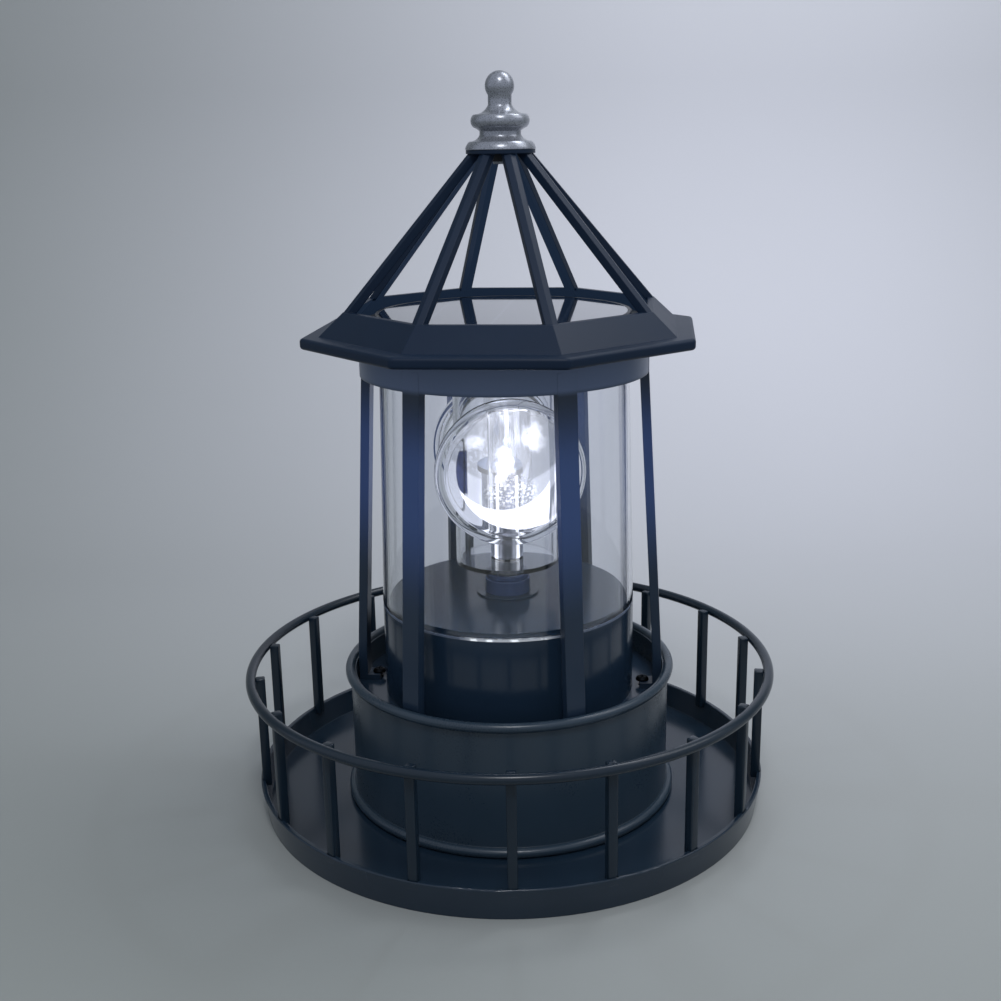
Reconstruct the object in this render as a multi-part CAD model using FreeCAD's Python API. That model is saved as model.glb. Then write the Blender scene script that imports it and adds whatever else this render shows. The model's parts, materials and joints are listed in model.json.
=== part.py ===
import FreeCAD, Part
import math
import os

# A solar garden lighthouse lamp: a round tray with a railing, a drum, a pedestal, a clear
# lantern tube in a six-post cage, and an eight-sided open roof over a round solar panel.
# A lens beacon turns about the lamp's axis. Millimetres, +Z up, the origin in the middle
# of the tray's underside, the front at -Y.

V = FreeCAD.Vector
UP = V(0, 0, 1)

# Fits
SEAT_GAP = 0.15       # a piece in the pocket or round the spigot that locates it
PRESS_GAP = 0.02      # a piece pressed or glued onto a shaft
RUN_GAP = 0.05        # radial clearance of a shaft in its bearing
FREE_GAP = 0.4        # a moving piece beside a fixed one
OVER = 1.0            # how far a cutter runs past the face that it opens

# Tray
TRAY_RIM_R = 109.1
TRAY_LEAN = 2.1       # foot inside the rim
TRAY_HEIGHT = 13.3
TRAY_FLOOR = 2.8
TRAY_WALL = 2.2
ACCESS_R = 44.0       # hole in the floor that leads to the battery door and the switch

# Railing
RAIL_POSTS = 18
RAIL_TURN = 6.8       # degrees from the front to the first post
RAIL_SIZE = 3.8       # side of the square posts
RAIL_INSET = 2.7      # post centre inside the tray's rim
RAIL_SOCKET = 3.0     # depth of the posts in the rim
RAIL_TUBE_R = 2.1
RAIL_HEIGHT = 58.6    # height of the ring's centre
RAIL_NUB = 1.4        # post tops above the ring's centre

# Drum
DRUM_STEP = 15.0      # drum outside the pedestal
DRUM_WALL = 2.2
DRUM_TOP = 60.2
BEAD_R = 2.0
LOWER_BEAD_OUT = 0.95  # bead centre outside the drum's wall
RIM_BEAD_OUT = 0.3
DRUM_FLANGE = 2.5
DRUM_FLANGE_R = 46.0
SHELF_TOP = 46.0
SHELF_THICK = 3.0
SHELF_STEP = 2.8      # shelf's hole outside the pedestal

# Pedestal
PED_R = 53.2
PED_WALL = 2.5
PED_TOP = 90.3
PED_PLATE = 3.0
PED_FLANGE = 2.5
STEP_DEPTH = 2.8      # shoulder for the tube, below the top face
SHOULDER_THICK = 3.5

# Clear tube and its seals
TUBE_WALL = 2.5
TUBE_TAPER = 2.4      # tube's top inside its foot
TUBE_TOP = 190.0
SEAL_THICK = 0.8

# Cage
COLLAR_GAP = 5.45     # collar's inside from the tube's top
COLLAR_WALL = 2.5
COLLAR_BOTTOM = 185.3
CEILING_THICK = 2.4
CEILING_RIM = 12.8    # ceiling's hole inside the tube's top
CAGE_POSTS = 6
CAGE_TURN = 30.0      # degrees from the front to the first post
CAGE_WIDTH = 8.0
CAGE_THICK = 3.7
FLARE_TOP = 62.0      # where the post stops flaring and drops into the drum
FOOT_GAP = 0.9        # post foot inside the drum's rim
FOOT_THICK = 2.4
FOOT_REACH = 9.0
LEAD_POST_TURN = 210.0   # the rear post whose groove holds the panel's lead

# Roof
EAVE_R = 82.6         # corner radius of the eight-sided eave
EAVE_BOTTOM = 198.33
EAVE_THICK = 4.5
EAVE_ROUND = 1.5
EAVE_CORNER = 3.0
EAVE_RIM = 10.8       # eave's hole inside the tube's top
SKIRT_R = 75.04
SKIRT_WALL = 2.8
OPENING_R = 65.02
OPENING_Z = 211.9
RAFTER_WIDTH = 4.8
RAFTER_DEPTH = 4.0
RAFTER_STEP = 0.3     # rafters inside the edges of the skirt and the hub
HUB_R = 13.6
HUB_THICK = 1.5
HUB_TOP = 272.1
SPIGOT_WALL = 2.5

# Finial
FLANGE_R = 13.9
FLANGE_TOP_R = 12.3
FLANGE_THICK = 3.1
WAIST_R = 8.1
WAIST_LOW = 5.6       # heights of the finial are above the hub
WAIST_HIGH = 6.9
DISC_R = 10.5
DISC_LOW = 8.4
DISC_HIGH = 13.1
NECK_R = 4.6
NECK_Z = 16.8
BALL_R = 5.7
FINIAL_HEIGHT = 29.4
FLANGE_BOW = 0.3      # how far the finial's edges bow out past their ends
DISC_BOW = 1.0
WAIST_LOW_BOW = 0.8
WAIST_HIGH_BOW = 0.9
STUD_R = 3.0
NUT_R = 5.5
NUT_THICK = 3.0

# Solar panel
PANEL_R = 50.0
PANEL_THICK = 2.5
HOLDER_R = 56.0
HOLDER_THICK = 1.5
HOLDER_RISE = 2.5     # of the plate above the eave, on the wall round it
HOLDER_WALL = 2.0
HOLDER_LIP = 1.4

# Gears
MODULE = 1.0
BEACON_TEETH = 40
IDLER_TEETH = 20
PINION_TEETH = 12
PRESSURE_ANGLE = math.radians(20)
ADDENDUM = 0.9        # in modules
DEDENDUM = 1.25
BACKLASH = 0.24
GEAR_WIDTH = 4.5
FLANK_STEPS = 4
IDLER_TURN = 90.0     # degrees from the front to the idler gear
PINION_TURN = 100.0   # degrees on from there to the pinion, seen from the idler

# Beacon
LENS_TURN = 11.0      # degrees from the front to the lens at rest
STEM_R = 4.5
STEM_WALL = 1.3
STEM_FLANGE_R = 7.0
STEM_FLANGE = 1.5
STEM_TAIL = 2.0       # below the gear plate
HUB_SLEEVE_R = 9.6
HUB_COLLAR = 2.0
HUB_COLLAR_R = 12.5
HUB_RISE = 6.7        # above the pedestal
SOCKET_DEPTH = 4.0    # of the cup's spigot in the hub
CUP_R = 21.5
CUP_WALL = 1.5
CUP_BOTTOM = 104.4
CUP_TOP = 181.0
CUP_NUT_R = 9.0
CUP_NUT = 2.0
PAD_REACH = 22.0
PAD_WIDTH = 16.0
PAD_HEIGHT = 48.0
LENS_R = 30.0
LENS_Z = 148.0
LENS_FLANGE = 3.0
LENS_BULGE_R = 25.6
LENS_BULGE = 7.0
BUSH_WALL = 2.4
BUSH_LIP = 0.8
BUSH_LIP_R = 13.2

# Light
SLEEVE_WALL = 2.3
SLEEVE_LIFT = 0.5     # above the cup's floor
LED_BOARD_R = 8.0
LED_BOARD = 1.6
LED_Z = 149.0         # middle of the LED
LED_R = 2.5
LED_HEIGHT = 8.0
LED_FLANGE_R = 3.0
LED_FLANGE = 1.0

# Drive
GEAR_PLATE = 2.7
GEAR_PLATE_GAP = 1.1     # to the pedestal's wall
GEAR_PLATE_DROP = 13.8   # its top below the pedestal's top face
BOSS_R = 3.8
BOSS_INSET = 5.1      # boss centre inside the gear plate's edge
BOSS_COUNT = 3
BOSS_TURN = 60.0
BOSS_SCREW = 6.0      # length of thread in a boss
MOTOR_R = 10.0
MOTOR_LENGTH = 25.0
MOTOR_BOSS_R = 3.0
MOTOR_BOSS = 1.5
MOTOR_SHAFT_R = 1.0
MOTOR_SHAFT_DEPTH = 6.0
MOTOR_SCREW_REACH = 6.5
SHAFT_END = 0.8       # shaft and pin ends above the gears
IDLER_PIN_R = 1.5
IDLER_BOSS_R = 4.0
PIN_HEAD_R = 2.6
PIN_HEAD = 1.0
CLIP_R = 3.2
CLIP_THICK = 0.7

# Base plate and what it carries
BASE_R = 56.5
BASE_THICK = 2.5
BASE_BOSS_HEIGHT = 9.0
BASE_SCREWS = 4
BASE_SCREW_R = 51.5
BASE_SCREW_TURN = 45.0
BOX_LENGTH = 62.0
BOX_WIDTH = 20.0
BOX_HEIGHT = 19.0
BOX_WALL = 1.6
BOX_Y = -15.0
DOOR_LENGTH = 54.0
DOOR_WIDTH = 15.6
EAR_WIDTH = 8.0
EAR_THICK = 1.2
BATTERY_R = 7.1
BATTERY_LENGTH = 49.0
BATTERY_NUB_R = 2.7
BATTERY_NUB = 1.3
SPRING_R = 4.6
SPRING_WIRE_R = 0.4
SPRING_TURNS = 3
CONTACT_SIDE = 12.0
CONTACT_THICK = 0.5
BOARD_X = 44.0
BOARD_Y = 28.0
BOARD_THICK = 1.6
BOARD_CENTRE_Y = 25.0
STAND_R = 2.6
STAND_INSET = 3.5
CHIP_SIDE = 9.0
CHIP_HEIGHT = 2.0
CAN_R = 3.0
CAN_HEIGHT = 9.0
SWITCH_X = 14.0
SWITCH_Y = 7.0
SWITCH_HEIGHT = 6.0
SWITCH_CENTRE_Y = 24.0
SWITCH_TRAVEL = 3.0
KNOB_X = 3.6
KNOB_Y = 2.6
KNOB_TIP = 3.6        # height of its tip, above what the lamp stands on
GUIDE_X = 6.0
GUIDE_Y = 4.2
GUIDE_THICK = 2.0

# Fasteners and leads
SCREW_R = 1.4
SCREW_HEAD_R = 2.8
SCREW_HEAD = 1.6
SCREW_SLOT = 0.7
BOARD_SCREW_HEAD_R = 2.2
LEAD_R = 1.0
BEND_SHARE = 0.45     # share of the shorter run that a bend takes up
LEAD_DROP = 10.0      # straight length where a lead leaves or enters a piece
PANEL_LEAD_R = 34.0   # where the panel's lead leaves its underside

# Heights and radii that follow from the sizes above
TRAY_FOOT_R = TRAY_RIM_R - TRAY_LEAN
DRUM_R = PED_R + DRUM_STEP
SHELF_R = PED_R + SHELF_STEP
TUBE_TOP_R = PED_R - TUBE_TAPER
COLLAR_R = TUBE_TOP_R + COLLAR_GAP + COLLAR_WALL
CEILING_HOLE_R = TUBE_TOP_R - CEILING_RIM
EAVE_HOLE_R = TUBE_TOP_R - EAVE_RIM
GEAR_PLATE_R = PED_R - PED_WALL - GEAR_PLATE_GAP
BOSS_RING_R = GEAR_PLATE_R - BOSS_INSET
BASE_SCREW_SEAT = SCREW_HEAD + SEAT_GAP
DRUM_BOTTOM = TRAY_FLOOR
BASE_BOTTOM = DRUM_BOTTOM + DRUM_FLANGE
BASE_TOP = BASE_BOTTOM + BASE_THICK
RAIL_R = TRAY_RIM_R - RAIL_INSET
RING_R = math.hypot(RAIL_R + RAIL_SIZE / 2, RAIL_SIZE / 2) + RAIL_TUBE_R
DRUM_INNER_R = DRUM_R - DRUM_WALL
RIM_INNER_R = DRUM_R + RIM_BEAD_OUT - BEAD_R
FLANGE_TOP = SHELF_TOP + PED_FLANGE
FOOT_R = min(RIM_INNER_R, DRUM_INNER_R + FOOT_GAP / 2) - FOOT_GAP
FOOT_TOP = FLANGE_TOP + FOOT_THICK
TUBE_INNER_R = PED_R - TUBE_WALL
SHOULDER_Z = PED_TOP - STEP_DEPTH
TUBE_BOTTOM = SHOULDER_Z + SEAL_THICK
PED_PLATE_BOTTOM = PED_TOP - PED_PLATE
CEILING_BOTTOM = TUBE_TOP + SEAL_THICK
CEILING_TOP = CEILING_BOTTOM + CEILING_THICK
COLLAR_INNER_R = COLLAR_R - COLLAR_WALL
EAVE_TOP = EAVE_BOTTOM + EAVE_THICK
HUB_BOTTOM = HUB_TOP - HUB_THICK
HOLDER_TOP = EAVE_TOP + HOLDER_RISE + HOLDER_THICK
BUSH_R = HUB_SLEEVE_R + RUN_GAP + BUSH_WALL
GEAR_PLATE_TOP = PED_TOP - GEAR_PLATE_DROP
GEAR_PLATE_BOTTOM = GEAR_PLATE_TOP - GEAR_PLATE
HUB_START = GEAR_PLATE_TOP + STEM_FLANGE + FREE_GAP
GEAR_BOTTOM = HUB_START + HUB_COLLAR
GEAR_TOP = GEAR_BOTTOM + GEAR_WIDTH
CUP_FLOOR_TOP = CUP_BOTTOM + CUP_WALL
HUB_END = PED_TOP + HUB_RISE
CUP_SPIGOT_R = STEM_R + PRESS_GAP + SLEEVE_WALL
SPIGOT_BOTTOM = HUB_END - SOCKET_DEPTH
LED_BOTTOM = LED_Z - LED_HEIGHT / 2
LED_BOARD_BOTTOM = LED_BOTTOM - LED_BOARD
BOX_TOP = BASE_TOP + BOX_HEIGHT
EAR_SCREW_X = BOX_LENGTH / 2 + BOSS_R + FREE_GAP
EAR_SCREW_TIP = BASE_TOP + BOSS_SCREW - OVER
MOTOR_SCREW_TIP = GEAR_PLATE_BOTTOM - BOSS_SCREW / 2
BATTERY_Z = BASE_TOP + BATTERY_R + SEAT_GAP
CAVITY_END = BOX_LENGTH / 2 - BOX_WALL
BATTERY_PLUS = CAVITY_END - CONTACT_THICK - BATTERY_NUB
BATTERY_MINUS = BATTERY_PLUS - BATTERY_LENGTH
BOARD_BOTTOM = BASE_TOP + SWITCH_HEIGHT
BOARD_TOP = BOARD_BOTTOM + BOARD_THICK
SCREW_RING_R = (PED_R + FOOT_R - CAGE_THICK) / 2
ROOF_SCREW_TIP = EAVE_BOTTOM + EAVE_THICK / 2
ROOF_SCREW_R = (EAVE_HOLE_R + TUBE_TOP_R - TUBE_WALL) / 2


def polar(radius, degrees, height=0.0):
    """A point at an angle from the front (-Y), turning towards +X."""
    angle = math.radians(degrees)
    return V(radius * math.sin(angle), -radius * math.cos(angle), height)


def turned_by(shape, degrees):
    copy = shape.copy()
    copy.rotate(V(0, 0, 0), UP, degrees)
    return copy


def disc(radius, bottom, top, x=0.0, y=0.0):
    return Part.makeCylinder(radius, top - bottom, V(x, y, bottom))


def ring(outer, inner, bottom, top, x=0.0, y=0.0):
    return disc(outer, bottom, top, x, y).cut(disc(inner, bottom - OVER, top + OVER, x, y))


def slab(length, width, bottom, top, x=0.0, y=0.0):
    """An upright box centred on (x, y)."""
    corner = V(x - length / 2, y - width / 2, bottom)
    return Part.makeBox(length, width, top - bottom, corner)


def torus(radius, tube, height):
    return Part.makeTorus(radius, tube, V(0, 0, height))


def flat_face(corners):
    return Part.Face(Part.makePolygon(corners + corners[:1]))


def turned(outline):
    """A solid of revolution from (radius, height) points."""
    face = flat_face([V(radius, 0, height) for radius, height in outline])
    return face.revolve(V(0, 0, 0), UP, 360)


def fused(first, *others):
    return first.multiFuse(list(others)).removeSplitter()


def rounded(shape, radius, wanted):
    edges = [edge for edge in shape.Edges if wanted(edge)]
    return shape.makeFillet(radius, edges)


def at_height(height):
    """A test for edges that lie flat at one height."""
    def lies_there(edge):
        box = edge.BoundBox
        return abs(box.ZMin - height) < 0.01 and abs(box.ZMax - height) < 0.01
    return lies_there


def octagon(low_r, low_z, high_r, high_z):
    """An eight-sided frustum with flats to the front, back and sides."""
    low = [polar(low_r, 22.5 + 45 * side, low_z) for side in range(8)]
    high = [polar(high_r, 22.5 + 45 * side, high_z) for side in range(8)]
    faces = [flat_face(low[::-1]), flat_face(high)]
    for side in range(8):
        faces.append(flat_face([low[side - 1], low[side], high[side], high[side - 1]]))
    return Part.Solid(Part.Shell(faces))


def screw(x, y, seat, tip, head_r=SCREW_HEAD_R, head=SCREW_HEAD):
    """An upright screw: its head sits on seat and its point is at tip, above or below."""
    down = tip < seat
    head_top = seat + head if down else seat - head
    low, high = sorted((seat, head_top))
    body = disc(head_r, low, high, x, y)
    low, high = sorted((seat, tip))
    body = fused(body, disc(SCREW_R, low, high, x, y))
    slot_low, slot_high = (head_top - head / 2, head_top + OVER)
    if not down:
        slot_low, slot_high = (head_top - OVER, head_top + head / 2)
    for length, width in ((head_r, SCREW_SLOT), (SCREW_SLOT, head_r)):
        body = body.cut(slab(length, width, slot_low, slot_high, x, y))
    return body


def lead(points, radius=LEAD_R):
    """A round lead along straight runs joined by tangent arcs."""
    edges = []
    start = points[0]
    for before, corner, after in zip(points, points[1:], points[2:]):
        back = before - corner
        ahead = after - corner
        half_turn = back.getAngle(ahead) / 2
        reach = BEND_SHARE * min(back.Length, ahead.Length)
        back.normalize()
        ahead.normalize()
        inward = back + ahead
        inward.normalize()
        sagitta = reach / math.cos(half_turn) - reach * math.tan(half_turn)
        entry = corner + back * reach
        leave = corner + ahead * reach
        edges.append(Part.LineSegment(start, entry).toShape())
        edges.append(Part.Arc(entry, corner + inward * sagitta, leave).toShape())
        start = leave
    edges.append(Part.LineSegment(start, points[-1]).toShape())
    section = Part.Wire(Part.makeCircle(radius, points[0], points[1] - points[0]))
    return Part.Wire(edges).makePipeShell([section], True, False)


def group(solids):
    return Part.makeCompound(list(solids))


# Tray and railing

def rail_angles():
    return [RAIL_TURN + 360 / RAIL_POSTS * index for index in range(RAIL_POSTS)]


def rail_post(degrees, gap=0.0):
    side = RAIL_SIZE + 2 * gap
    bottom = TRAY_HEIGHT - RAIL_SOCKET - gap
    post = slab(side, side, bottom, RAIL_HEIGHT + RAIL_NUB, 0, -RAIL_R)
    return turned_by(post, degrees)


def base_screw_places():
    turns = [BASE_SCREW_TURN + 360 / BASE_SCREWS * index for index in range(BASE_SCREWS)]
    return [polar(BASE_SCREW_R, turn) for turn in turns]


def tray():
    lean = (TRAY_RIM_R - TRAY_FOOT_R) / TRAY_HEIGHT
    inner_foot_r = TRAY_FOOT_R + lean * TRAY_FLOOR - TRAY_WALL
    dish = turned([
        (ACCESS_R, 0), (TRAY_FOOT_R, 0), (TRAY_RIM_R, TRAY_HEIGHT),
        (TRAY_RIM_R - TRAY_WALL, TRAY_HEIGHT), (inner_foot_r, TRAY_FLOOR), (ACCESS_R, TRAY_FLOOR),
    ])
    dish = rounded(dish, TRAY_WALL / 4, at_height(TRAY_HEIGHT))
    for degrees in rail_angles():
        dish = dish.cut(rail_post(degrees, SEAT_GAP))
    for place in base_screw_places():
        dish = dish.cut(disc(SCREW_R + SEAT_GAP, -OVER, TRAY_FLOOR + OVER, place.x, place.y))
        dish = dish.cut(disc(SCREW_HEAD_R + SEAT_GAP, -OVER, BASE_SCREW_SEAT, place.x, place.y))
    return dish


def railing_ring():
    return torus(RING_R, RAIL_TUBE_R, RAIL_HEIGHT)


def railing_posts():
    return group(rail_post(degrees) for degrees in rail_angles())


# Drum

def cage_angles():
    return [CAGE_TURN + 360 / CAGE_POSTS * index for index in range(CAGE_POSTS)]


def foot_holes(bottom, top, radius):
    places = [polar(SCREW_RING_R, turn) for turn in cage_angles()]
    return [disc(radius, bottom - OVER, top + OVER, place.x, place.y) for place in places]


def lead_passage(bottom, top):
    """The hole that the panel's lead goes down through, at the foot of its post."""
    place = polar(lead_r(FLARE_TOP), LEAD_POST_TURN)
    return disc(LEAD_R + SEAT_GAP, bottom - OVER, top + OVER, place.x, place.y)


def drum():
    wall = ring(DRUM_R, DRUM_INNER_R, DRUM_BOTTOM, DRUM_TOP - BEAD_R)
    flange = ring(DRUM_R, DRUM_FLANGE_R, DRUM_BOTTOM, BASE_BOTTOM)
    shelf = ring(DRUM_R - DRUM_WALL / 2, SHELF_R, SHELF_TOP - SHELF_THICK, SHELF_TOP)
    lower_bead = torus(DRUM_R + LOWER_BEAD_OUT, BEAD_R, DRUM_BOTTOM + BEAD_R)
    rim_bead = torus(DRUM_R + RIM_BEAD_OUT, BEAD_R, DRUM_TOP - BEAD_R)
    body = fused(wall, flange, shelf, lower_bead, rim_bead)
    for place in base_screw_places():
        hole = disc(SCREW_R + SEAT_GAP, DRUM_BOTTOM - OVER, BASE_BOTTOM + OVER, place.x, place.y)
        body = body.cut(hole)
    for hole in foot_holes(SHELF_TOP - SHELF_THICK, SHELF_TOP, SCREW_R + SEAT_GAP / 2):
        body = body.cut(hole)
    return body.cut(lead_passage(SHELF_TOP - SHELF_THICK, SHELF_TOP))


# Pedestal and clear tube

def boss_places():
    turns = [BOSS_TURN + 360 / BOSS_COUNT * index for index in range(BOSS_COUNT)]
    return [polar(BOSS_RING_R, turn) for turn in turns]


def pedestal():
    step_r = TUBE_INNER_R - SEAT_GAP
    plate = disc(step_r, PED_TOP - PED_PLATE, PED_TOP)
    shoulder = ring(PED_R, PED_R - 2 * PED_WALL, SHOULDER_Z - SHOULDER_THICK, SHOULDER_Z)
    wall = ring(PED_R, PED_R - PED_WALL, SHELF_TOP, SHOULDER_Z)
    flange = ring(DRUM_INNER_R - SEAT_GAP, PED_R - PED_WALL, SHELF_TOP, FLANGE_TOP)
    body = fused(plate, shoulder, wall, flange)
    for place in boss_places():
        boss = disc(BOSS_R, GEAR_PLATE_TOP, PED_TOP - PED_PLATE, place.x, place.y)
        pilot = disc(SCREW_R + SEAT_GAP / 2, GEAR_PLATE_TOP - OVER, PED_TOP - PED_PLATE,
                     place.x, place.y)
        body = fused(body, boss).cut(pilot)
    body = body.cut(disc(BUSH_R + SEAT_GAP / 2, PED_TOP - PED_PLATE - OVER, PED_TOP + OVER))
    for hole in foot_holes(SHELF_TOP, FLANGE_TOP, SCREW_R + SEAT_GAP):
        body = body.cut(hole)
    return body.cut(lead_passage(SHELF_TOP, FLANGE_TOP))


def tube_seal():
    return ring(PED_R, TUBE_INNER_R, SHOULDER_Z, TUBE_BOTTOM)


def clear_tube():
    return turned([
        (TUBE_INNER_R, TUBE_BOTTOM), (PED_R, TUBE_BOTTOM),
        (TUBE_TOP_R, TUBE_TOP), (TUBE_TOP_R - TUBE_WALL, TUBE_TOP),
    ])


def top_seal():
    return ring(TUBE_TOP_R, TUBE_TOP_R - TUBE_WALL, TUBE_TOP, CEILING_BOTTOM)


# Cage

def post_outer_r(height):
    """Radius of a cage post's outer face: upright in the collar, then flaring to the foot."""
    if height >= COLLAR_BOTTOM:
        return COLLAR_R
    if height <= FLARE_TOP:
        return FOOT_R
    share = (COLLAR_BOTTOM - height) / (COLLAR_BOTTOM - FLARE_TOP)
    return COLLAR_R + (FOOT_R - COLLAR_R) * share


def cage_post(degrees):
    heights = (FLANGE_TOP, FLARE_TOP, COLLAR_BOTTOM, CEILING_TOP)
    outer = [(post_outer_r(height), height) for height in heights]
    inner = [(radius - CAGE_THICK, height) for radius, height in reversed(outer)]
    points = [V(-CAGE_WIDTH / 2, -radius, height) for radius, height in outer + inner]
    strip = flat_face(points).extrude(V(CAGE_WIDTH, 0, 0))
    foot = slab(CAGE_WIDTH, FOOT_REACH, FLANGE_TOP, FOOT_TOP, 0, -(FOOT_R - FOOT_REACH / 2))
    return turned_by(fused(strip, foot), degrees)


def roof_screw_places():
    turns = [45 + 90 * index for index in range(4)]
    return [polar(ROOF_SCREW_R, turn) for turn in turns]


def lantern_cage():
    collar = ring(COLLAR_R, COLLAR_INNER_R, COLLAR_BOTTOM, EAVE_BOTTOM)
    ceiling = ring(COLLAR_R - COLLAR_WALL / 2, CEILING_HOLE_R, CEILING_BOTTOM, CEILING_TOP)
    body = fused(collar, ceiling, *[cage_post(degrees) for degrees in cage_angles()])
    for place in roof_screw_places():
        hole = disc(SCREW_R + SEAT_GAP, CEILING_BOTTOM - OVER, CEILING_TOP + OVER, place.x, place.y)
        body = body.cut(hole)
    for hole in foot_holes(FLANGE_TOP, FOOT_TOP, SCREW_R + SEAT_GAP):
        body = body.cut(hole)
    return body.cut(panel_lead(LEAD_R + SEAT_GAP))


def cage_screws():
    places = [polar(SCREW_RING_R, turn) for turn in cage_angles()]
    return group(screw(place.x, place.y, FOOT_TOP, SHELF_TOP - SHELF_THICK) for place in places)


# Roof

def roof_frame():
    eave = octagon(EAVE_R, EAVE_BOTTOM, EAVE_R, EAVE_TOP)
    eave = rounded(eave, EAVE_CORNER, lambda edge: edge.BoundBox.ZLength > EAVE_THICK / 2)
    outline = (at_height(EAVE_BOTTOM), at_height(EAVE_TOP))
    eave = rounded(eave, EAVE_ROUND, lambda edge: outline[0](edge) or outline[1](edge))
    eave = eave.cut(disc(EAVE_HOLE_R, EAVE_BOTTOM - OVER, EAVE_TOP + OVER))
    skirt = octagon(SKIRT_R, EAVE_TOP, OPENING_R, OPENING_Z)
    skirt = skirt.cut(octagon(SKIRT_R - SKIRT_WALL, EAVE_TOP, OPENING_R - SKIRT_WALL, OPENING_Z))
    hub = disc(HUB_R, HUB_BOTTOM, HUB_TOP)
    spigot_r = COLLAR_INNER_R - SEAT_GAP
    spigot = ring(spigot_r, spigot_r - SPIGOT_WALL, CEILING_TOP, EAVE_BOTTOM)
    notch = slab(2 * (LEAD_R + SEAT_GAP), 3 * SPIGOT_WALL, CEILING_TOP - OVER, EAVE_BOTTOM + OVER,
                 0, -spigot_r)
    spigot = spigot.cut(turned_by(notch, LEAD_POST_TURN))
    bosses = [disc(BOSS_R, CEILING_TOP, EAVE_BOTTOM, place.x, place.y)
              for place in roof_screw_places()]
    body = fused(eave, skirt, hub, spigot, *(bosses + rafters()))
    for place in roof_screw_places():
        pilot = disc(SCREW_R + SEAT_GAP / 2, CEILING_TOP - OVER, ROOF_SCREW_TIP, place.x, place.y)
        body = body.cut(pilot)
    return body.cut(disc(STUD_R + SEAT_GAP, HUB_BOTTOM - OVER, HUB_TOP + OVER))


def rafter_r(height):
    """Corner radius of the rafters' outer faces."""
    share = (height - OPENING_Z) / (HUB_BOTTOM - OPENING_Z)
    return OPENING_R - RAFTER_STEP + (HUB_R - OPENING_R) * share


def rafters():
    """Eight angle-section ribs along the roof's ridges, let into the skirt and the hub."""
    low, high = (OPENING_Z - OVER, HUB_BOTTOM + OVER)
    low_r, high_r = (rafter_r(low), rafter_r(high))
    shell = octagon(low_r, low, high_r, high)
    shell = shell.cut(octagon(low_r - RAFTER_DEPTH, low, high_r - RAFTER_DEPTH, high))
    ribs = []
    for side in range(8):
        bar = slab(RAFTER_WIDTH, SKIRT_R, low, high, 0, -SKIRT_R / 2)
        ribs.append(shell.common(turned_by(bar, 22.5 + 45 * side)))
    return ribs


def roof_screws():
    places = roof_screw_places()
    return group(screw(place.x, place.y, CEILING_BOTTOM, ROOF_SCREW_TIP) for place in places)


def finial():
    """Flange, waist, disc, neck and ball, turned as one piece with its stud."""
    def at(radius, height):
        return V(radius, 0, HUB_TOP + height)
    ball_z = FINIAL_HEIGHT - BALL_R
    ball_start = ball_z - math.sqrt(BALL_R ** 2 - NECK_R ** 2)
    flange_bow = ((FLANGE_R + FLANGE_TOP_R) / 2 + FLANGE_BOW, FLANGE_THICK / 2)
    disc_bow = (DISC_R + DISC_BOW, (DISC_LOW + DISC_HIGH) / 2)
    waist_low = (WAIST_R + WAIST_LOW_BOW, (FLANGE_THICK + WAIST_LOW) / 2)
    waist_high = (WAIST_R + WAIST_HIGH_BOW, (DISC_LOW + WAIST_HIGH) / 2)
    shoulder = ((DISC_R + 2 * NECK_R) / 3, DISC_HIGH + (NECK_Z - DISC_HIGH) / 3)
    runs = [
        ((FLANGE_R, 0), flange_bow, (FLANGE_TOP_R, FLANGE_THICK)),
        ((FLANGE_TOP_R, FLANGE_THICK), waist_low, (WAIST_R, WAIST_LOW)),
        ((WAIST_R, WAIST_HIGH), waist_high, (DISC_R, DISC_LOW)),
        ((DISC_R, DISC_LOW), disc_bow, (DISC_R, DISC_HIGH)),
        ((DISC_R, DISC_HIGH), shoulder, (NECK_R, NECK_Z)),
        ((NECK_R, ball_start), (BALL_R, ball_z), (0, FINIAL_HEIGHT)),
    ]
    edges = [Part.LineSegment(at(0, 0), at(FLANGE_R, 0)).toShape()]
    edges += [Part.Arc(at(*start), at(*middle), at(*end)).toShape() for start, middle, end in runs]
    edges.append(Part.LineSegment(at(WAIST_R, WAIST_LOW), at(WAIST_R, WAIST_HIGH)).toShape())
    edges.append(Part.LineSegment(at(NECK_R, NECK_Z), at(NECK_R, ball_start)).toShape())
    edges.append(Part.LineSegment(at(0, FINIAL_HEIGHT), at(0, 0)).toShape())
    outline = Part.Wire(Part.__sortEdges__(edges))
    knob = Part.Face(outline).revolve(V(0, 0, 0), UP, 360)
    return fused(knob, disc(STUD_R, HUB_BOTTOM - NUT_THICK - OVER, HUB_TOP))


def hexagon(radius, bottom, top):
    corners = [polar(radius, 60 * side, bottom) for side in range(6)]
    return flat_face(corners).extrude(V(0, 0, top - bottom))


def finial_nut():
    nut = hexagon(NUT_R, HUB_BOTTOM - NUT_THICK, HUB_BOTTOM)
    return nut.cut(disc(STUD_R + SEAT_GAP / 2, HUB_BOTTOM - NUT_THICK - OVER, HUB_BOTTOM + OVER))


# Solar panel

def panel_holder():
    plate = disc(HOLDER_R, HOLDER_TOP - HOLDER_THICK, HOLDER_TOP)
    wall = ring(HOLDER_R, HOLDER_R - HOLDER_WALL, EAVE_TOP, HOLDER_TOP)
    lip_r = PANEL_R + SEAT_GAP
    lip = ring(lip_r + HOLDER_LIP, lip_r, HOLDER_TOP, HOLDER_TOP + PANEL_THICK)
    start = polar(PANEL_LEAD_R, LEAD_POST_TURN)
    hole = disc(LEAD_R + SEAT_GAP, EAVE_TOP - OVER, HOLDER_TOP + OVER, start.x, start.y)
    return fused(plate, wall, lip).cut(hole)


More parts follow.
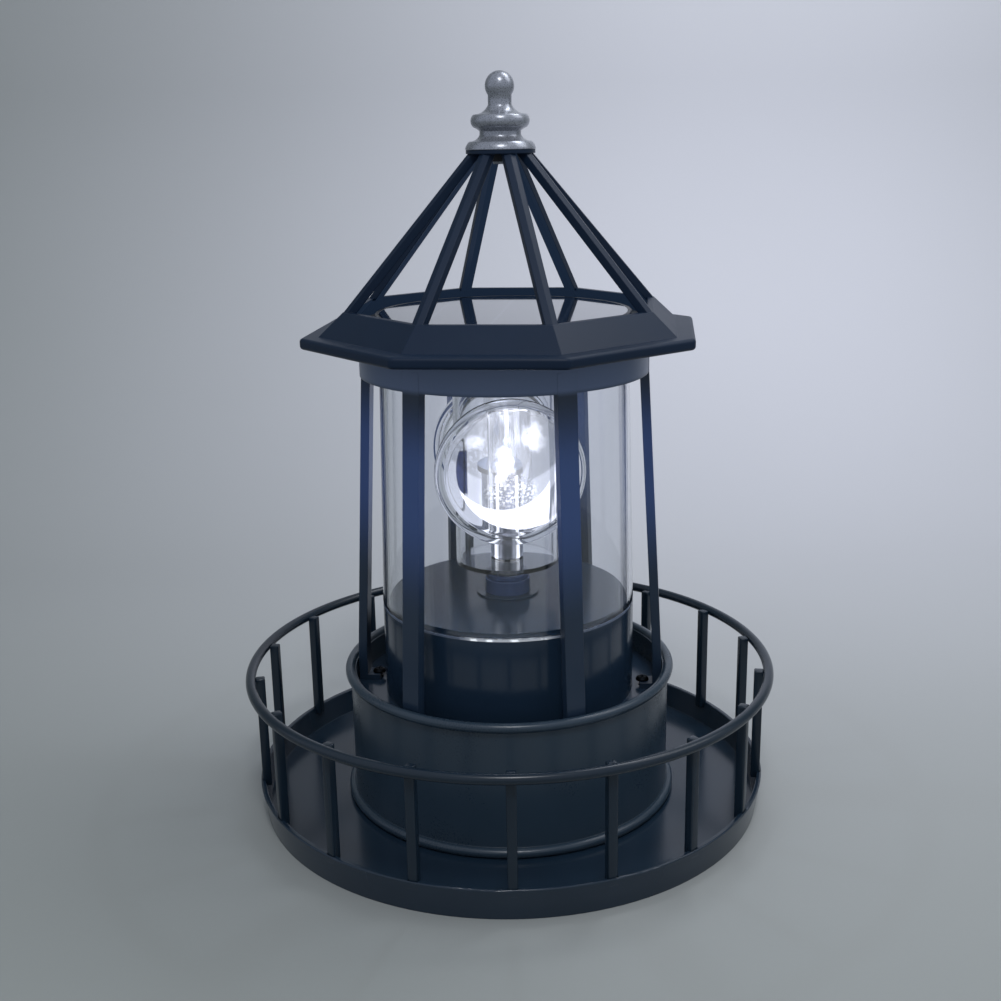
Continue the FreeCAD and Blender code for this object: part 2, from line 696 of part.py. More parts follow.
def solar_panel():
    return disc(PANEL_R, HOLDER_TOP, HOLDER_TOP + PANEL_THICK)


def lead_r(height):
    """Distance of the panel's lead from the axis, in the groove of the rear post."""
    return post_outer_r(height) - CAGE_THICK + LEAD_R


def panel_lead(radius=LEAD_R):
    """From the panel, over the ceiling, down the rear post's groove and onto the board."""
    crossing = (CEILING_TOP + EAVE_BOTTOM) / 2
    top_r = lead_r(COLLAR_BOTTOM)
    foot_r = lead_r(FLARE_TOP)
    end = V(-BOARD_X / 3, BOARD_CENTRE_Y + BOARD_Y / 3, BOARD_TOP)
    return lead([
        polar(PANEL_LEAD_R, LEAD_POST_TURN, HOLDER_TOP),
        polar(PANEL_LEAD_R, LEAD_POST_TURN, crossing),
        polar(top_r - LEAD_R, LEAD_POST_TURN, crossing),
        polar(top_r, LEAD_POST_TURN, COLLAR_BOTTOM),
        polar(foot_r, LEAD_POST_TURN, FLARE_TOP),
        polar(foot_r, LEAD_POST_TURN, SHELF_TOP - SHELF_THICK - LEAD_DROP),
        end + UP * LEAD_DROP,
        end,
    ], radius)


# Gears

def involute(angle):
    return math.tan(angle) - angle


def gear(teeth, bore, phase, centre=V(0, 0, 0)):
    """A spur gear with one tooth centred at phase degrees from the front."""
    pitch_r = MODULE * teeth / 2
    base_r = pitch_r * math.cos(PRESSURE_ANGLE)
    tip_r = pitch_r + ADDENDUM * MODULE
    root_r = pitch_r - DEDENDUM * MODULE
    half_pitch = math.pi / (2 * teeth) - BACKLASH / (4 * pitch_r)
    start_r = max(base_r, root_r)
    radii = [start_r + (tip_r - start_r) * step / FLANK_STEPS for step in range(FLANK_STEPS + 1)]
    if root_r < start_r:
        radii.insert(0, root_r)
    flank = []
    for radius in radii:
        slope = math.acos(min(1, base_r / radius))
        half = half_pitch + involute(PRESSURE_ANGLE) - involute(slope)
        flank.append((radius, math.degrees(half)))
    points = []
    for tooth in range(teeth):
        middle = phase + 360 / teeth * tooth
        points += [polar(radius, middle - half, GEAR_BOTTOM) for radius, half in flank]
        points += [polar(radius, middle + half, GEAR_BOTTOM) for radius, half in reversed(flank)]
    wheel = flat_face(points).extrude(V(0, 0, GEAR_WIDTH))
    wheel = wheel.cut(disc(bore, GEAR_BOTTOM - OVER, GEAR_TOP + OVER))
    wheel.translate(centre)
    return wheel


def meshed_phase(phase, teeth, direction, next_teeth):
    """Phase of the next gear, so that it meshes with this one in that direction."""
    ahead = (phase - direction) % (360 / teeth)
    return direction + 180 + 180 / next_teeth - ahead * teeth / next_teeth


IDLER_PHASE = meshed_phase(0, BEACON_TEETH, IDLER_TURN, IDLER_TEETH)
PINION_DIRECTION = IDLER_TURN + PINION_TURN
PINION_PHASE = meshed_phase(IDLER_PHASE, IDLER_TEETH, PINION_DIRECTION, PINION_TEETH)
IDLER_AXIS = polar(MODULE * (BEACON_TEETH + IDLER_TEETH) / 2, IDLER_TURN)
PINION_AXIS = IDLER_AXIS + polar(MODULE * (IDLER_TEETH + PINION_TEETH) / 2, PINION_DIRECTION)


def beacon_gear():
    return gear(BEACON_TEETH, HUB_SLEEVE_R + PRESS_GAP, 0)


def idler_gear():
    bore = IDLER_PIN_R + RUN_GAP
    wheel = gear(IDLER_TEETH, bore, IDLER_PHASE, IDLER_AXIS)
    boss = ring(IDLER_BOSS_R, bore, GEAR_PLATE_TOP + FREE_GAP, GEAR_BOTTOM,
                IDLER_AXIS.x, IDLER_AXIS.y)
    return fused(wheel, boss)


def motor_pinion():
    return gear(PINION_TEETH, MOTOR_SHAFT_R + PRESS_GAP, PINION_PHASE, PINION_AXIS)


def idler_pin():
    x, y = IDLER_AXIS.x, IDLER_AXIS.y
    head = disc(PIN_HEAD_R, GEAR_PLATE_BOTTOM - PIN_HEAD, GEAR_PLATE_BOTTOM, x, y)
    top = GEAR_TOP + FREE_GAP + CLIP_THICK + SHAFT_END
    return fused(head, disc(IDLER_PIN_R, GEAR_PLATE_BOTTOM, top, x, y))


def idler_clip():
    bottom = GEAR_TOP + FREE_GAP
    return ring(CLIP_R, IDLER_PIN_R + PRESS_GAP, bottom, bottom + CLIP_THICK,
                IDLER_AXIS.x, IDLER_AXIS.y)


# Motor and gear plate

def motor_screw_places():
    across = polar(MOTOR_SCREW_REACH, PINION_DIRECTION - 90)
    return [PINION_AXIS + across, PINION_AXIS - across]


def gear_plate():
    plate = disc(GEAR_PLATE_R, GEAR_PLATE_BOTTOM, GEAR_PLATE_TOP)
    holes = [(V(0, 0, 0), STEM_R + SEAT_GAP / 2), (IDLER_AXIS, IDLER_PIN_R + PRESS_GAP),
             (PINION_AXIS, MOTOR_BOSS_R + SEAT_GAP)]
    holes += [(place, SCREW_R + SEAT_GAP) for place in boss_places() + motor_screw_places()]
    for place, radius in holes:
        hole = disc(radius, GEAR_PLATE_BOTTOM - OVER, GEAR_PLATE_TOP + OVER, place.x, place.y)
        plate = plate.cut(hole)
    return plate


def gear_plate_screws():
    tip = GEAR_PLATE_TOP + BOSS_SCREW
    return group(screw(place.x, place.y, GEAR_PLATE_BOTTOM, tip) for place in boss_places())


def motor():
    x, y = PINION_AXIS.x, PINION_AXIS.y
    can = disc(MOTOR_R, GEAR_PLATE_BOTTOM - MOTOR_LENGTH, GEAR_PLATE_BOTTOM, x, y)
    can = fused(can, disc(MOTOR_BOSS_R, GEAR_PLATE_BOTTOM, GEAR_PLATE_BOTTOM + MOTOR_BOSS, x, y))
    bore_bottom = GEAR_PLATE_BOTTOM - MOTOR_SHAFT_DEPTH
    can = can.cut(disc(MOTOR_SHAFT_R + RUN_GAP, bore_bottom, GEAR_PLATE_TOP, x, y))
    for place in motor_screw_places():
        pilot = disc(SCREW_R + SEAT_GAP / 2, MOTOR_SCREW_TIP, GEAR_PLATE_TOP, place.x, place.y)
        can = can.cut(pilot)
    return can


def motor_screws():
    places = motor_screw_places()
    return group(screw(place.x, place.y, GEAR_PLATE_TOP, MOTOR_SCREW_TIP) for place in places)


def motor_shaft():
    bottom = GEAR_PLATE_BOTTOM - MOTOR_SHAFT_DEPTH + FREE_GAP
    return disc(MOTOR_SHAFT_R, bottom, GEAR_TOP + SHAFT_END, PINION_AXIS.x, PINION_AXIS.y)


# Beacon: a clear cup with two lenses that turns on the stem

def beacon_bush():
    bore = HUB_SLEEVE_R + RUN_GAP
    body = ring(BUSH_R, bore, PED_PLATE_BOTTOM, PED_TOP)
    return fused(body, ring(BUSH_LIP_R, bore, PED_TOP, PED_TOP + BUSH_LIP))


def beacon_hub():
    sleeve = disc(HUB_SLEEVE_R, HUB_START, HUB_END)
    collar = disc(HUB_COLLAR_R, HUB_START, GEAR_BOTTOM)
    body = fused(sleeve, collar)
    body = body.cut(disc(CUP_SPIGOT_R + PRESS_GAP, SPIGOT_BOTTOM, HUB_END + OVER))
    return body.cut(disc(STEM_R + RUN_GAP, HUB_START - OVER, HUB_END + OVER))


def lens_cup():
    cup = disc(CUP_R, CUP_BOTTOM, CUP_TOP)
    low, high = (LENS_Z - PAD_HEIGHT / 2, LENS_Z + PAD_HEIGHT / 2)
    cup = fused(cup, slab(PAD_WIDTH, 2 * PAD_REACH, low, high))
    cup = cup.cut(disc(CUP_R - CUP_WALL, CUP_FLOOR_TOP, CUP_TOP + OVER))
    cup = fused(cup, disc(CUP_SPIGOT_R, SPIGOT_BOTTOM, CUP_FLOOR_TOP))
    cup = cup.cut(disc(STEM_R + RUN_GAP, SPIGOT_BOTTOM - OVER, CUP_FLOOR_TOP + OVER))
    return turned_by(cup, LENS_TURN)


def cup_nut():
    return ring(CUP_NUT_R, CUP_SPIGOT_R + PRESS_GAP, HUB_END, HUB_END + CUP_NUT)


def lens(degrees):
    """A flat-backed lens: a flange with a bulge that is part of a ball."""
    ball_r = (LENS_BULGE_R ** 2 + LENS_BULGE ** 2) / (2 * LENS_BULGE)
    ball = Part.makeSphere(ball_r, V(0, 0, LENS_FLANGE + LENS_BULGE - ball_r))
    bulge = ball.common(disc(LENS_BULGE_R, LENS_FLANGE, LENS_FLANGE + LENS_BULGE + OVER))
    flange = disc(LENS_R, 0, LENS_FLANGE)
    flange = rounded(flange, LENS_FLANGE / 3, at_height(LENS_FLANGE))
    body = fused(flange, bulge)
    body.rotate(V(0, 0, 0), V(1, 0, 0), 90)
    body.translate(V(0, -PAD_REACH, LENS_Z))
    return turned_by(body, degrees)


def front_lens():
    return lens(LENS_TURN)


def rear_lens():
    return lens(LENS_TURN + 180)


# Light

def led_stem():
    bottom = GEAR_PLATE_BOTTOM - STEM_TAIL
    tube = ring(STEM_R, STEM_R - STEM_WALL, bottom, LED_BOARD_BOTTOM)
    flange = ring(STEM_FLANGE_R, STEM_R - STEM_WALL, GEAR_PLATE_TOP, GEAR_PLATE_TOP + STEM_FLANGE)
    return fused(tube, flange)


def led_sleeve():
    bore = STEM_R + PRESS_GAP
    return ring(bore + SLEEVE_WALL, bore, CUP_FLOOR_TOP + SLEEVE_LIFT, LED_BOARD_BOTTOM)


def led_board():
    return disc(LED_BOARD_R, LED_BOARD_BOTTOM, LED_BOTTOM)


def led():
    rim = disc(LED_FLANGE_R, LED_BOTTOM, LED_BOTTOM + LED_FLANGE)
    dome_z = LED_BOTTOM + LED_HEIGHT - LED_R
    return fused(rim, disc(LED_R, LED_BOTTOM, dome_z), Part.makeSphere(LED_R, V(0, 0, dome_z)))


# Base plate, battery, board and switch

def knob_x():
    """The knob stands at the ON end of its slot."""
    return -SWITCH_TRAVEL / 2


def stand_places():
    reach_x = BOARD_X / 2 - STAND_INSET
    reach_y = BOARD_Y / 2 - STAND_INSET
    return [V(x, BOARD_CENTRE_Y + y, 0) for x in (-reach_x, reach_x) for y in (-reach_y, reach_y)]


def ear(gap=0.0):
    """Tongue of the battery door that its screw goes through."""
    start = DOOR_LENGTH / 2 - OVER
    end = EAR_SCREW_X + EAR_WIDTH / 2 + gap
    middle = (start + end) / 2
    top = BASE_BOTTOM + EAR_THICK + gap
    return slab(end - start, EAR_WIDTH + 2 * gap, BASE_BOTTOM - gap, top, middle, BOX_Y)


def base_plate():
    plate = disc(BASE_R, BASE_BOTTOM, BASE_TOP)
    bosses = [disc(BOSS_R, BASE_TOP, BASE_TOP + BASE_BOSS_HEIGHT, place.x, place.y)
              for place in base_screw_places()]
    bosses.append(disc(BOSS_R, BASE_TOP, BASE_TOP + BOSS_SCREW, EAR_SCREW_X, BOX_Y))
    stands = [disc(STAND_R, BASE_TOP, BOARD_BOTTOM, place.x, place.y) for place in stand_places()]
    plate = fused(plate, *(bosses + stands))
    pilot_r = SCREW_R + SEAT_GAP / 2
    for place in base_screw_places():
        top = BASE_TOP + BASE_BOSS_HEIGHT - OVER
        plate = plate.cut(disc(pilot_r, BASE_BOTTOM - OVER, top, place.x, place.y))
    for place in stand_places():
        plate = plate.cut(disc(pilot_r, BASE_TOP, BOARD_BOTTOM + OVER, place.x, place.y))
    plate = plate.cut(disc(pilot_r, BASE_BOTTOM - OVER, EAR_SCREW_TIP, EAR_SCREW_X, BOX_Y))
    hatch = slab(DOOR_LENGTH + 2 * SEAT_GAP, DOOR_WIDTH + 2 * SEAT_GAP,
                 BASE_BOTTOM - OVER, BASE_TOP + OVER, 0, BOX_Y)
    slot = slab(KNOB_X + SWITCH_TRAVEL + 2 * FREE_GAP, KNOB_Y + 2 * FREE_GAP,
                BASE_BOTTOM - OVER, BASE_TOP + OVER, 0, SWITCH_CENTRE_Y)
    return plate.cut(hatch).cut(ear(SEAT_GAP)).cut(slot)


def base_screws():
    tip = BASE_TOP + BASE_BOSS_HEIGHT - OVER
    return group(screw(place.x, place.y, BASE_SCREW_SEAT, tip) for place in base_screw_places())


def battery_door():
    door = slab(DOOR_LENGTH, DOOR_WIDTH, BASE_BOTTOM, BASE_TOP, 0, BOX_Y)
    hole = disc(SCREW_R + SEAT_GAP, BASE_BOTTOM - OVER, BASE_TOP, EAR_SCREW_X, BOX_Y)
    return fused(door, ear()).cut(hole)


def door_screw():
    return screw(EAR_SCREW_X, BOX_Y, BASE_BOTTOM, EAR_SCREW_TIP)


def battery_box():
    shell = slab(BOX_LENGTH, BOX_WIDTH, BASE_TOP, BOX_TOP, 0, BOX_Y)
    cavity = slab(2 * CAVITY_END, BOX_WIDTH - 2 * BOX_WALL, BASE_TOP - OVER, BOX_TOP - BOX_WALL,
                  0, BOX_Y)
    return shell.cut(cavity)


def along_x(radius, start, end):
    """A round bar in the battery's line."""
    return Part.makeCylinder(radius, end - start, V(start, BOX_Y, BATTERY_Z), V(1, 0, 0))


def battery():
    cell = along_x(BATTERY_R, BATTERY_MINUS, BATTERY_PLUS)
    return fused(cell, along_x(BATTERY_NUB_R, BATTERY_PLUS, BATTERY_PLUS + BATTERY_NUB))


def battery_contact():
    low = BATTERY_Z - CONTACT_SIDE / 2
    middle = CAVITY_END - CONTACT_THICK / 2
    return slab(CONTACT_THICK, CONTACT_SIDE, low, low + CONTACT_SIDE, middle, BOX_Y)


def battery_spring():
    """A wire coil between the battery's flat end and the box."""
    span = BATTERY_MINUS + CAVITY_END - 2 * SPRING_WIRE_R
    path = Part.makeHelix(span / SPRING_TURNS, span, SPRING_R)
    start = V(SPRING_R, 0, 0)
    section = Part.Wire(Part.makeCircle(SPRING_WIRE_R, start, V(0, 1, 0)))
    coil = Part.Wire(path.Edges).makePipeShell([section], True, True)
    coil.rotate(V(0, 0, 0), V(0, 1, 0), 90)
    coil.translate(V(SPRING_WIRE_R - CAVITY_END, BOX_Y, BATTERY_Z))
    return coil


def circuit_board():
    board = slab(BOARD_X, BOARD_Y, BOARD_BOTTOM, BOARD_TOP, 0, BOARD_CENTRE_Y)
    for place in stand_places():
        board = board.cut(disc(SCREW_R + SEAT_GAP, BOARD_BOTTOM - OVER, BOARD_TOP + OVER,
                               place.x, place.y))
    return board


def board_screws():
    places = stand_places()
    return group(screw(place.x, place.y, BOARD_TOP, BASE_TOP, BOARD_SCREW_HEAD_R)
                 for place in places)


def board_parts():
    chip = slab(CHIP_SIDE, CHIP_SIDE, BOARD_TOP, BOARD_TOP + CHIP_HEIGHT, 0, BOARD_CENTRE_Y)
    cans = [disc(CAN_R, BOARD_TOP, BOARD_TOP + CAN_HEIGHT, x, BOARD_CENTRE_Y)
            for x in (-BOARD_X / 4, BOARD_X / 4)]
    return group([chip] + cans)


def switch_body():
    body = slab(SWITCH_X, SWITCH_Y, BASE_TOP, BOARD_BOTTOM, 0, SWITCH_CENTRE_Y)
    cavity = slab(GUIDE_X + SWITCH_TRAVEL + 2 * FREE_GAP, GUIDE_Y + 2 * SEAT_GAP,
                  BASE_TOP - OVER, BASE_TOP + GUIDE_THICK + 2 * SEAT_GAP, 0, SWITCH_CENTRE_Y)
    return body.cut(cavity)


def switch_knob():
    guide_bottom = BASE_TOP + SEAT_GAP
    guide = slab(GUIDE_X, GUIDE_Y, guide_bottom, guide_bottom + GUIDE_THICK,
                 knob_x(), SWITCH_CENTRE_Y)
    knob = slab(KNOB_X, KNOB_Y, KNOB_TIP, guide_bottom + GUIDE_THICK, knob_x(), SWITCH_CENTRE_Y)
    return fused(guide, knob)


# Leads

def board_lead(start, x, y):
    """A lead that drops from a piece above and lands upright on the board."""
    end = V(x, y, BOARD_TOP)
    return lead([start, start - UP * LEAD_DROP, end + UP * LEAD_DROP, end])


def led_lead():
    turn = V(0, 0, GEAR_PLATE_BOTTOM - STEM_TAIL)
    end = V(BOARD_X / 8, BOARD_CENTRE_Y - BOARD_Y / 3, BOARD_TOP)
    return lead([V(0, 0, LED_BOARD_BOTTOM), turn - UP * LEAD_DROP, end + UP * LEAD_DROP, end])


def motor_lead():
    start = V(PINION_AXIS.x, PINION_AXIS.y, GEAR_PLATE_BOTTOM - MOTOR_LENGTH)
    return board_lead(start, BOARD_X / 3, BOARD_CENTRE_Y + BOARD_Y / 4)


def battery_lead():
    start = V(-BOX_LENGTH / 4, BOX_Y, BOX_TOP)
    end = V(-BOARD_X / 4, BOARD_CENTRE_Y - BOARD_Y / 3, BOARD_TOP)
    return lead([start, start + UP * LEAD_DROP / 2, end + UP * LEAD_DROP, end])


PIECES = [
    tray, railing_posts, railing_ring, drum, base_plate, base_screws, battery_box, battery_door,
    door_screw, battery, battery_contact, battery_spring, circuit_board, board_screws,
    board_parts, switch_body, switch_knob, pedestal, gear_plate, gear_plate_screws, motor,
    motor_screws, motor_shaft, motor_pinion, idler_pin, idler_clip, idler_gear, beacon_gear,
    beacon_bush, beacon_hub, lens_cup, cup_nut, front_lens, rear_lens, led_stem, led_sleeve,
    led_board, led, tube_seal, clear_tube, top_seal, lantern_cage, cage_screws, roof_frame,
    roof_screws, finial, finial_nut, panel_holder, solar_panel, panel_lead, led_lead,
    motor_lead, battery_lead,
]

os.makedirs("parts", exist_ok=True)
for piece in PIECES:
    shape = piece()
    name = piece.__name__
    shape.exportStep("parts/" + name + ".step")
    print(name, len(shape.Solids), "solids", round(shape.Volume), "mm3", shape.isValid())
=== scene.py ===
# %% [markdown]
# # A garden lighthouse lamp
# The imported model is the fixed frame: every piece below is measured from it, in metres, with
# +Z up and the front at -Y.
# %% Load the frame
import json
import math

import bpy
import bmesh
from mathutils import Matrix, Vector


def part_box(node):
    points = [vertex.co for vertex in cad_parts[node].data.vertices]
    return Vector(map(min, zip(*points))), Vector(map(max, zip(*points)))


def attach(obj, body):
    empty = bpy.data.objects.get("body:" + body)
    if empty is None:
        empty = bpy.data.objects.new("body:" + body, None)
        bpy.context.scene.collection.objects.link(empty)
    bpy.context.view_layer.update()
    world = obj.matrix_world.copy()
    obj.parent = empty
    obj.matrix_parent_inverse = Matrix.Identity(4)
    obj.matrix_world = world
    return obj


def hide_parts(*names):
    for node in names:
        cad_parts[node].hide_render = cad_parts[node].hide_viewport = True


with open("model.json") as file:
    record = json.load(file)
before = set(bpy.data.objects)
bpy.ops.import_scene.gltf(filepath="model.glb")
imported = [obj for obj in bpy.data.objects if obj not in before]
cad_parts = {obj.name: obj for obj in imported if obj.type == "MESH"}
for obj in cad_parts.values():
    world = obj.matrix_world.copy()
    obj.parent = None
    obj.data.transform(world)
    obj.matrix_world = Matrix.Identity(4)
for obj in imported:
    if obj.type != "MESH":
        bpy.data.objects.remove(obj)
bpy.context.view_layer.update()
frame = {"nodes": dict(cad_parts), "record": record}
nodes = frame["nodes"]
scene = bpy.context.scene
MM = 0.001
print("frame:", len(nodes), "nodes")

# %% [markdown]
# ## Camera
# The circles of the railing, the drum and the collar gave the camera: half a metre off, a little
# right of the front, looking down by about 16 degrees. A lens of 47 mm on a 36 mm sensor keeps
# the mild widening of the near side of the tray.
# %% Camera
CAMERA_TURN = math.radians(6.8)
CAMERA_PLACE = Vector((0, -0.52728, 0.27733))
YAW, PITCH, ROLL = (math.radians(angle) for angle in (-0.27, 15.62, -1.03))
FOCAL_LENGTH, SENSOR_WIDTH = 46.95, 36


def camera_axes(yaw, pitch, roll):
    """Columns of the camera's own right, up and back."""
    level = math.cos(pitch)
    ahead = Vector((math.sin(yaw) * level, math.cos(yaw) * level, -math.sin(pitch)))
    right = Vector((math.cos(yaw), -math.sin(yaw), 0))
    up = right.cross(ahead)
    rolled_right = right * math.cos(roll) + up * math.sin(roll)
    rolled_up = up * math.cos(roll) - right * math.sin(roll)
    return Matrix((rolled_right, rolled_up, -ahead)).transposed().to_4x4()


lens_data = bpy.data.cameras.new("camera")
lens_data.lens = FOCAL_LENGTH
lens_data.sensor_width = SENSOR_WIDTH
camera = bpy.data.objects.new("camera", lens_data)
scene.collection.objects.link(camera)
turn = Matrix.Rotation(CAMERA_TURN, 4, "Z")
camera.matrix_world = turn @ Matrix.Translation(CAMERA_PLACE) @ camera_axes(YAW, PITCH, ROLL)
scene.camera = camera
print("camera at", [round(value, 4) for value in camera.matrix_world.translation])

# %% [markdown]
# ## Writing node trees as sums
# A node tree is easier to read as arithmetic. `Wire` wraps one socket, and its operators add
# Math nodes; `Kit.node` adds any other node, with its settings first and its sockets after. The
# same kit serves materials and Geometry Nodes.
# %% The node kit
class Wire:
    """One output socket, which can be added, multiplied and so on."""

    def __init__(self, kit, socket):
        self.kit = kit
        self.socket = socket

    def maths(self, operation, *others):
        values = dict(enumerate((self, *others)))
        return self.kit.node("ShaderNodeMath", {"operation": operation}, values)

    def out(self, name):
        return Wire(self.kit, self.socket.node.outputs[name])

    def __add__(self, other):
        return self.maths("ADD", other)

    def __mul__(self, other):
        return self.maths("MULTIPLY", other)

    def __sub__(self, other):
        return self.maths("SUBTRACT", other)

    def __rsub__(self, other):
        return self * -1 + other

    def __truediv__(self, other):
        return self.maths("DIVIDE", other)

    __radd__ = __add__
    __rmul__ = __mul__

    def clamped(self):
        return self.kit.node("ShaderNodeClamp", None, {"Value": self})

    def step(self, low, high):
        """0 below low, 1 above high, and a smooth rise between them."""
        settings = {"interpolation_type": "SMOOTHSTEP"}
        return self.kit.node("ShaderNodeMapRange", settings, {"Value": self, 1: low, 2: high})


class Kit:
    """A node tree that is written as calls."""

    def __init__(self, tree):
        self.tree = tree

    def node(self, kind, settings=None, sockets=None, output=0):
        made = self.tree.nodes.new(kind)
        for name, value in (settings or {}).items():
            setattr(made, name, value)
        for name, value in (sockets or {}).items():
            if isinstance(value, Wire):
                self.tree.links.new(value.socket, made.inputs[name])
            else:
                made.inputs[name].default_value = value
        return Wire(self, made.outputs[output]) if made.outputs else made


def paint(red, green, blue):
    """A colour as a picture shows it, turned into the linear one that nodes use."""
    parts = [value / 255 for value in (red, green, blue)]
    return (*[v / 12.92 if v < 0.04045 else ((v + 0.055) / 1.055) ** 2.4 for v in parts], 1)


def shade(colour, times):
    """The colour made lighter or darker, and no channel above 1."""
    return (*[min(1, value * times) for value in colour[:3]], 1)


class Finish(Kit):
    """A material. Its patterns read Object coordinates, so they stay on the piece."""

    def __init__(self, name):
        self.material = bpy.data.materials.new(name)
        self.material.use_nodes = True
        super().__init__(self.material.node_tree)
        self.tree.nodes.clear()

    def place(self):
        return self.node("ShaderNodeTexCoord", output="Object")

    def noise(self, scale, detail=2.0, place=None):
        sockets = {"Vector": place or self.place(), "Scale": scale, "Detail": detail}
        return self.node("ShaderNodeTexNoise", None, sockets)

    def stretched(self, scale):
        """Object coordinates, scaled differently along each axis."""
        return self.node("ShaderNodeMapping", None, {"Vector": self.place(), "Scale": scale})

    def axis(self, name, place=None):
        """One coordinate of a place, in metres."""
        return self.node("ShaderNodeSeparateXYZ", None, {"Vector": place or self.place()}, name)

    def white(self, light, red=0.9, green=0.91):
        """A bluish white of a brightness that changes over the surface."""
        sockets = {0: light * red, 1: light * green, 2: light}
        return self.node("ShaderNodeCombineColor", None, sockets)

    def mix(self, factor, first, second):
        sockets = {0: factor, 6: first, 7: second}
        return self.node("ShaderNodeMix", {"data_type": "RGBA"}, sockets, 2)

    def bump(self, height, distance, radius=0.0):
        """A relief of so many metres, over edges that look rounded by radius."""
        sockets = {"Height": height, "Distance": distance, "Strength": 1.0}
        if radius:
            sockets["Normal"] = self.node("ShaderNodeBevel", {"samples": 6}, {"Radius": radius})
        return self.node("ShaderNodeBump", None, sockets)

    def surface(self, sockets):
        return self.node("ShaderNodeBsdfPrincipled", None, sockets)

    def ends_in(self, shader):
        self.node("ShaderNodeOutputMaterial", None, {"Surface": shader})
        return self.material


print("kit ready")

# %% [markdown]
# ## Moulded plastic
# The housing is satin blue-black plastic. Up close such a moulding has a fine grain, cloudy
# patches where the tool was polished unevenly, perhaps some dust on what faces up, and edges that
# catch a thin line of light. A picture wrapped on the surface could show this, but it would need
# unwrapping. A noise for each, and the Bevel node for the edges, give it without another triangle.
# %% Moulded plastic
def moulded(name, colour, rough, grain=0.00001, edge=0.0005, dust=0.1, shine=0.5, patches=0.08,
            lit_from=None):
    f = Finish(name)
    clouds = f.noise(38, 3)
    fine = f.noise(1500, 2)
    upward = f.axis("Z", f.node("ShaderNodeNewGeometry").out("Normal")).step(0.6, 1.0)
    settled = upward * f.noise(130, 5).step(0.45, 0.75)
    base = f.mix(clouds, shade(colour, 0.85), shade(colour, 1.15))
    base = f.mix(settled * dust, base, paint(150, 150, 150))
    roughness = clouds * patches + fine * 0.03 + settled * dust + (rough - patches / 2 - 0.015)
    sockets = {
        "Base Color": base,
        "Roughness": roughness,
        "Specular IOR Level": shine,
        "IOR": 1.5,
        "Normal": f.bump(fine, grain, edge),
    }
    if lit_from:
        lit_from(f, base, sockets)
    return f.ends_in(f.surface(sockets))


def painted_cage_light(f, base, sockets):
    """Painted light: a paler collar lit from the front, and the lamp's blue glow at the lens's
    height.
    """
    height = f.axis("Z") / MM
    # Painted light: the collar's colour is painted paler where light from the front falls on it.
    sockets["Base Color"] = f.mix(height.step(184, 187), base, paint(92, 108, 138))
    # Painted glow: the lamp's blue light on the posts, painted on as emission.
    near = height.step(96, 140) * (1 - height.step(155, 186))
    sockets["Emission Color"] = f.mix(near, (0, 0, 0, 1), (0.011, 0.023, 0.08, 1))
    sockets["Emission Strength"] = 1.0


def painted_panel_light(f, base, sockets):
    """Painted light: what faces the axis glows, for the light that the solar panel throws up."""
    flat = {"operation": "MULTIPLY"}
    spot = f.node("ShaderNodeVectorMath", flat, {0: f.place(), 1: (1000, 1000, 0)})
    normal = f.node("ShaderNodeNewGeometry").out("Normal")
    dot = {"operation": "DOT_PRODUCT"}
    outward = f.node("ShaderNodeVectorMath", dot, {0: normal, 1: spot}, "Value")
    glow = (0.009, 0.017, 0.034, 1)
    sockets["Emission Color"] = f.mix(1 - outward.step(-6, -2), (0, 0, 0, 1), glow)
    sockets["Emission Strength"] = 1.0


clean = {"dust": 0.0, "patches": 0.02}
# Painted light: these satin plastics are copies of one plastic, each with its colour painted
# lighter or darker for the light that its piece gets.
housing = moulded("housing_satin", paint(42, 57, 70), 0.28, dust=0.0, patches=0.03)
roof_satin = moulded("roof_satin", paint(15, 33, 54), 0.42, dust=0.02, shine=0.22,
                     lit_from=painted_panel_light)
cage_satin = moulded("cage_satin", paint(30, 46, 64), 0.34, dust=0.0, lit_from=painted_cage_light)
pedestal_satin = moulded("pedestal_satin", paint(31, 47, 64), 0.17, **clean)
tray_satin = moulded("tray_satin", paint(27, 42, 56), 0.19, grain=0.000004, **clean)
railing_satin = moulded("railing_satin", paint(22, 36, 48), 0.24, edge=0.0003, dust=0.0, shine=0.4)
hub_satin = moulded("hub_satin", paint(52, 68, 100), 0.24, **clean)
dish_black = moulded("dish_satin", paint(24, 27, 33), 0.3)
inner_black = moulded("inner_plastic", paint(25, 26, 29), 0.42)
part_black = moulded("component_plastic", paint(22, 22, 24), 0.5, edge=0.0002)
gear_white = moulded("gear_nylon", paint(214, 214, 206), 0.38, edge=0.0002, dust=0.0)
print("plastics:", len(bpy.data.materials))

# %% [markdown]
# ## Silver paint
# The finial is plastic under metallic paint. Flakes could be real little plates, but there would
# be millions of them. A fine cell pattern, which changes colour and roughness a little from cell
# to cell, looks the same at this size. Bare metal gets stretched noise, as turning leaves lines.
# %% Silver paint and metals
def flaked(name, colour, rough, metal, flakes=2600, relief=0.000006):
    f = Finish(name)
    cells = f.node("ShaderNodeTexVoronoi", None, {"Vector": f.place(), "Scale": flakes}, "Color")
    sparkle = f.node("ShaderNodeSeparateColor", None, {"Color": cells})
    clouds = f.noise(60, 3)
    return f.ends_in(f.surface({
        "Base Color": f.mix(sparkle * 0.6 + clouds * 0.4, shade(colour, 0.72), shade(colour, 1.25)),
        "Metallic": metal,
        "Roughness": sparkle * 0.1 + clouds * 0.08 + (rough - 0.09),
        "Normal": f.bump(f.noise(900, 2), relief, 0.0002),
    }))


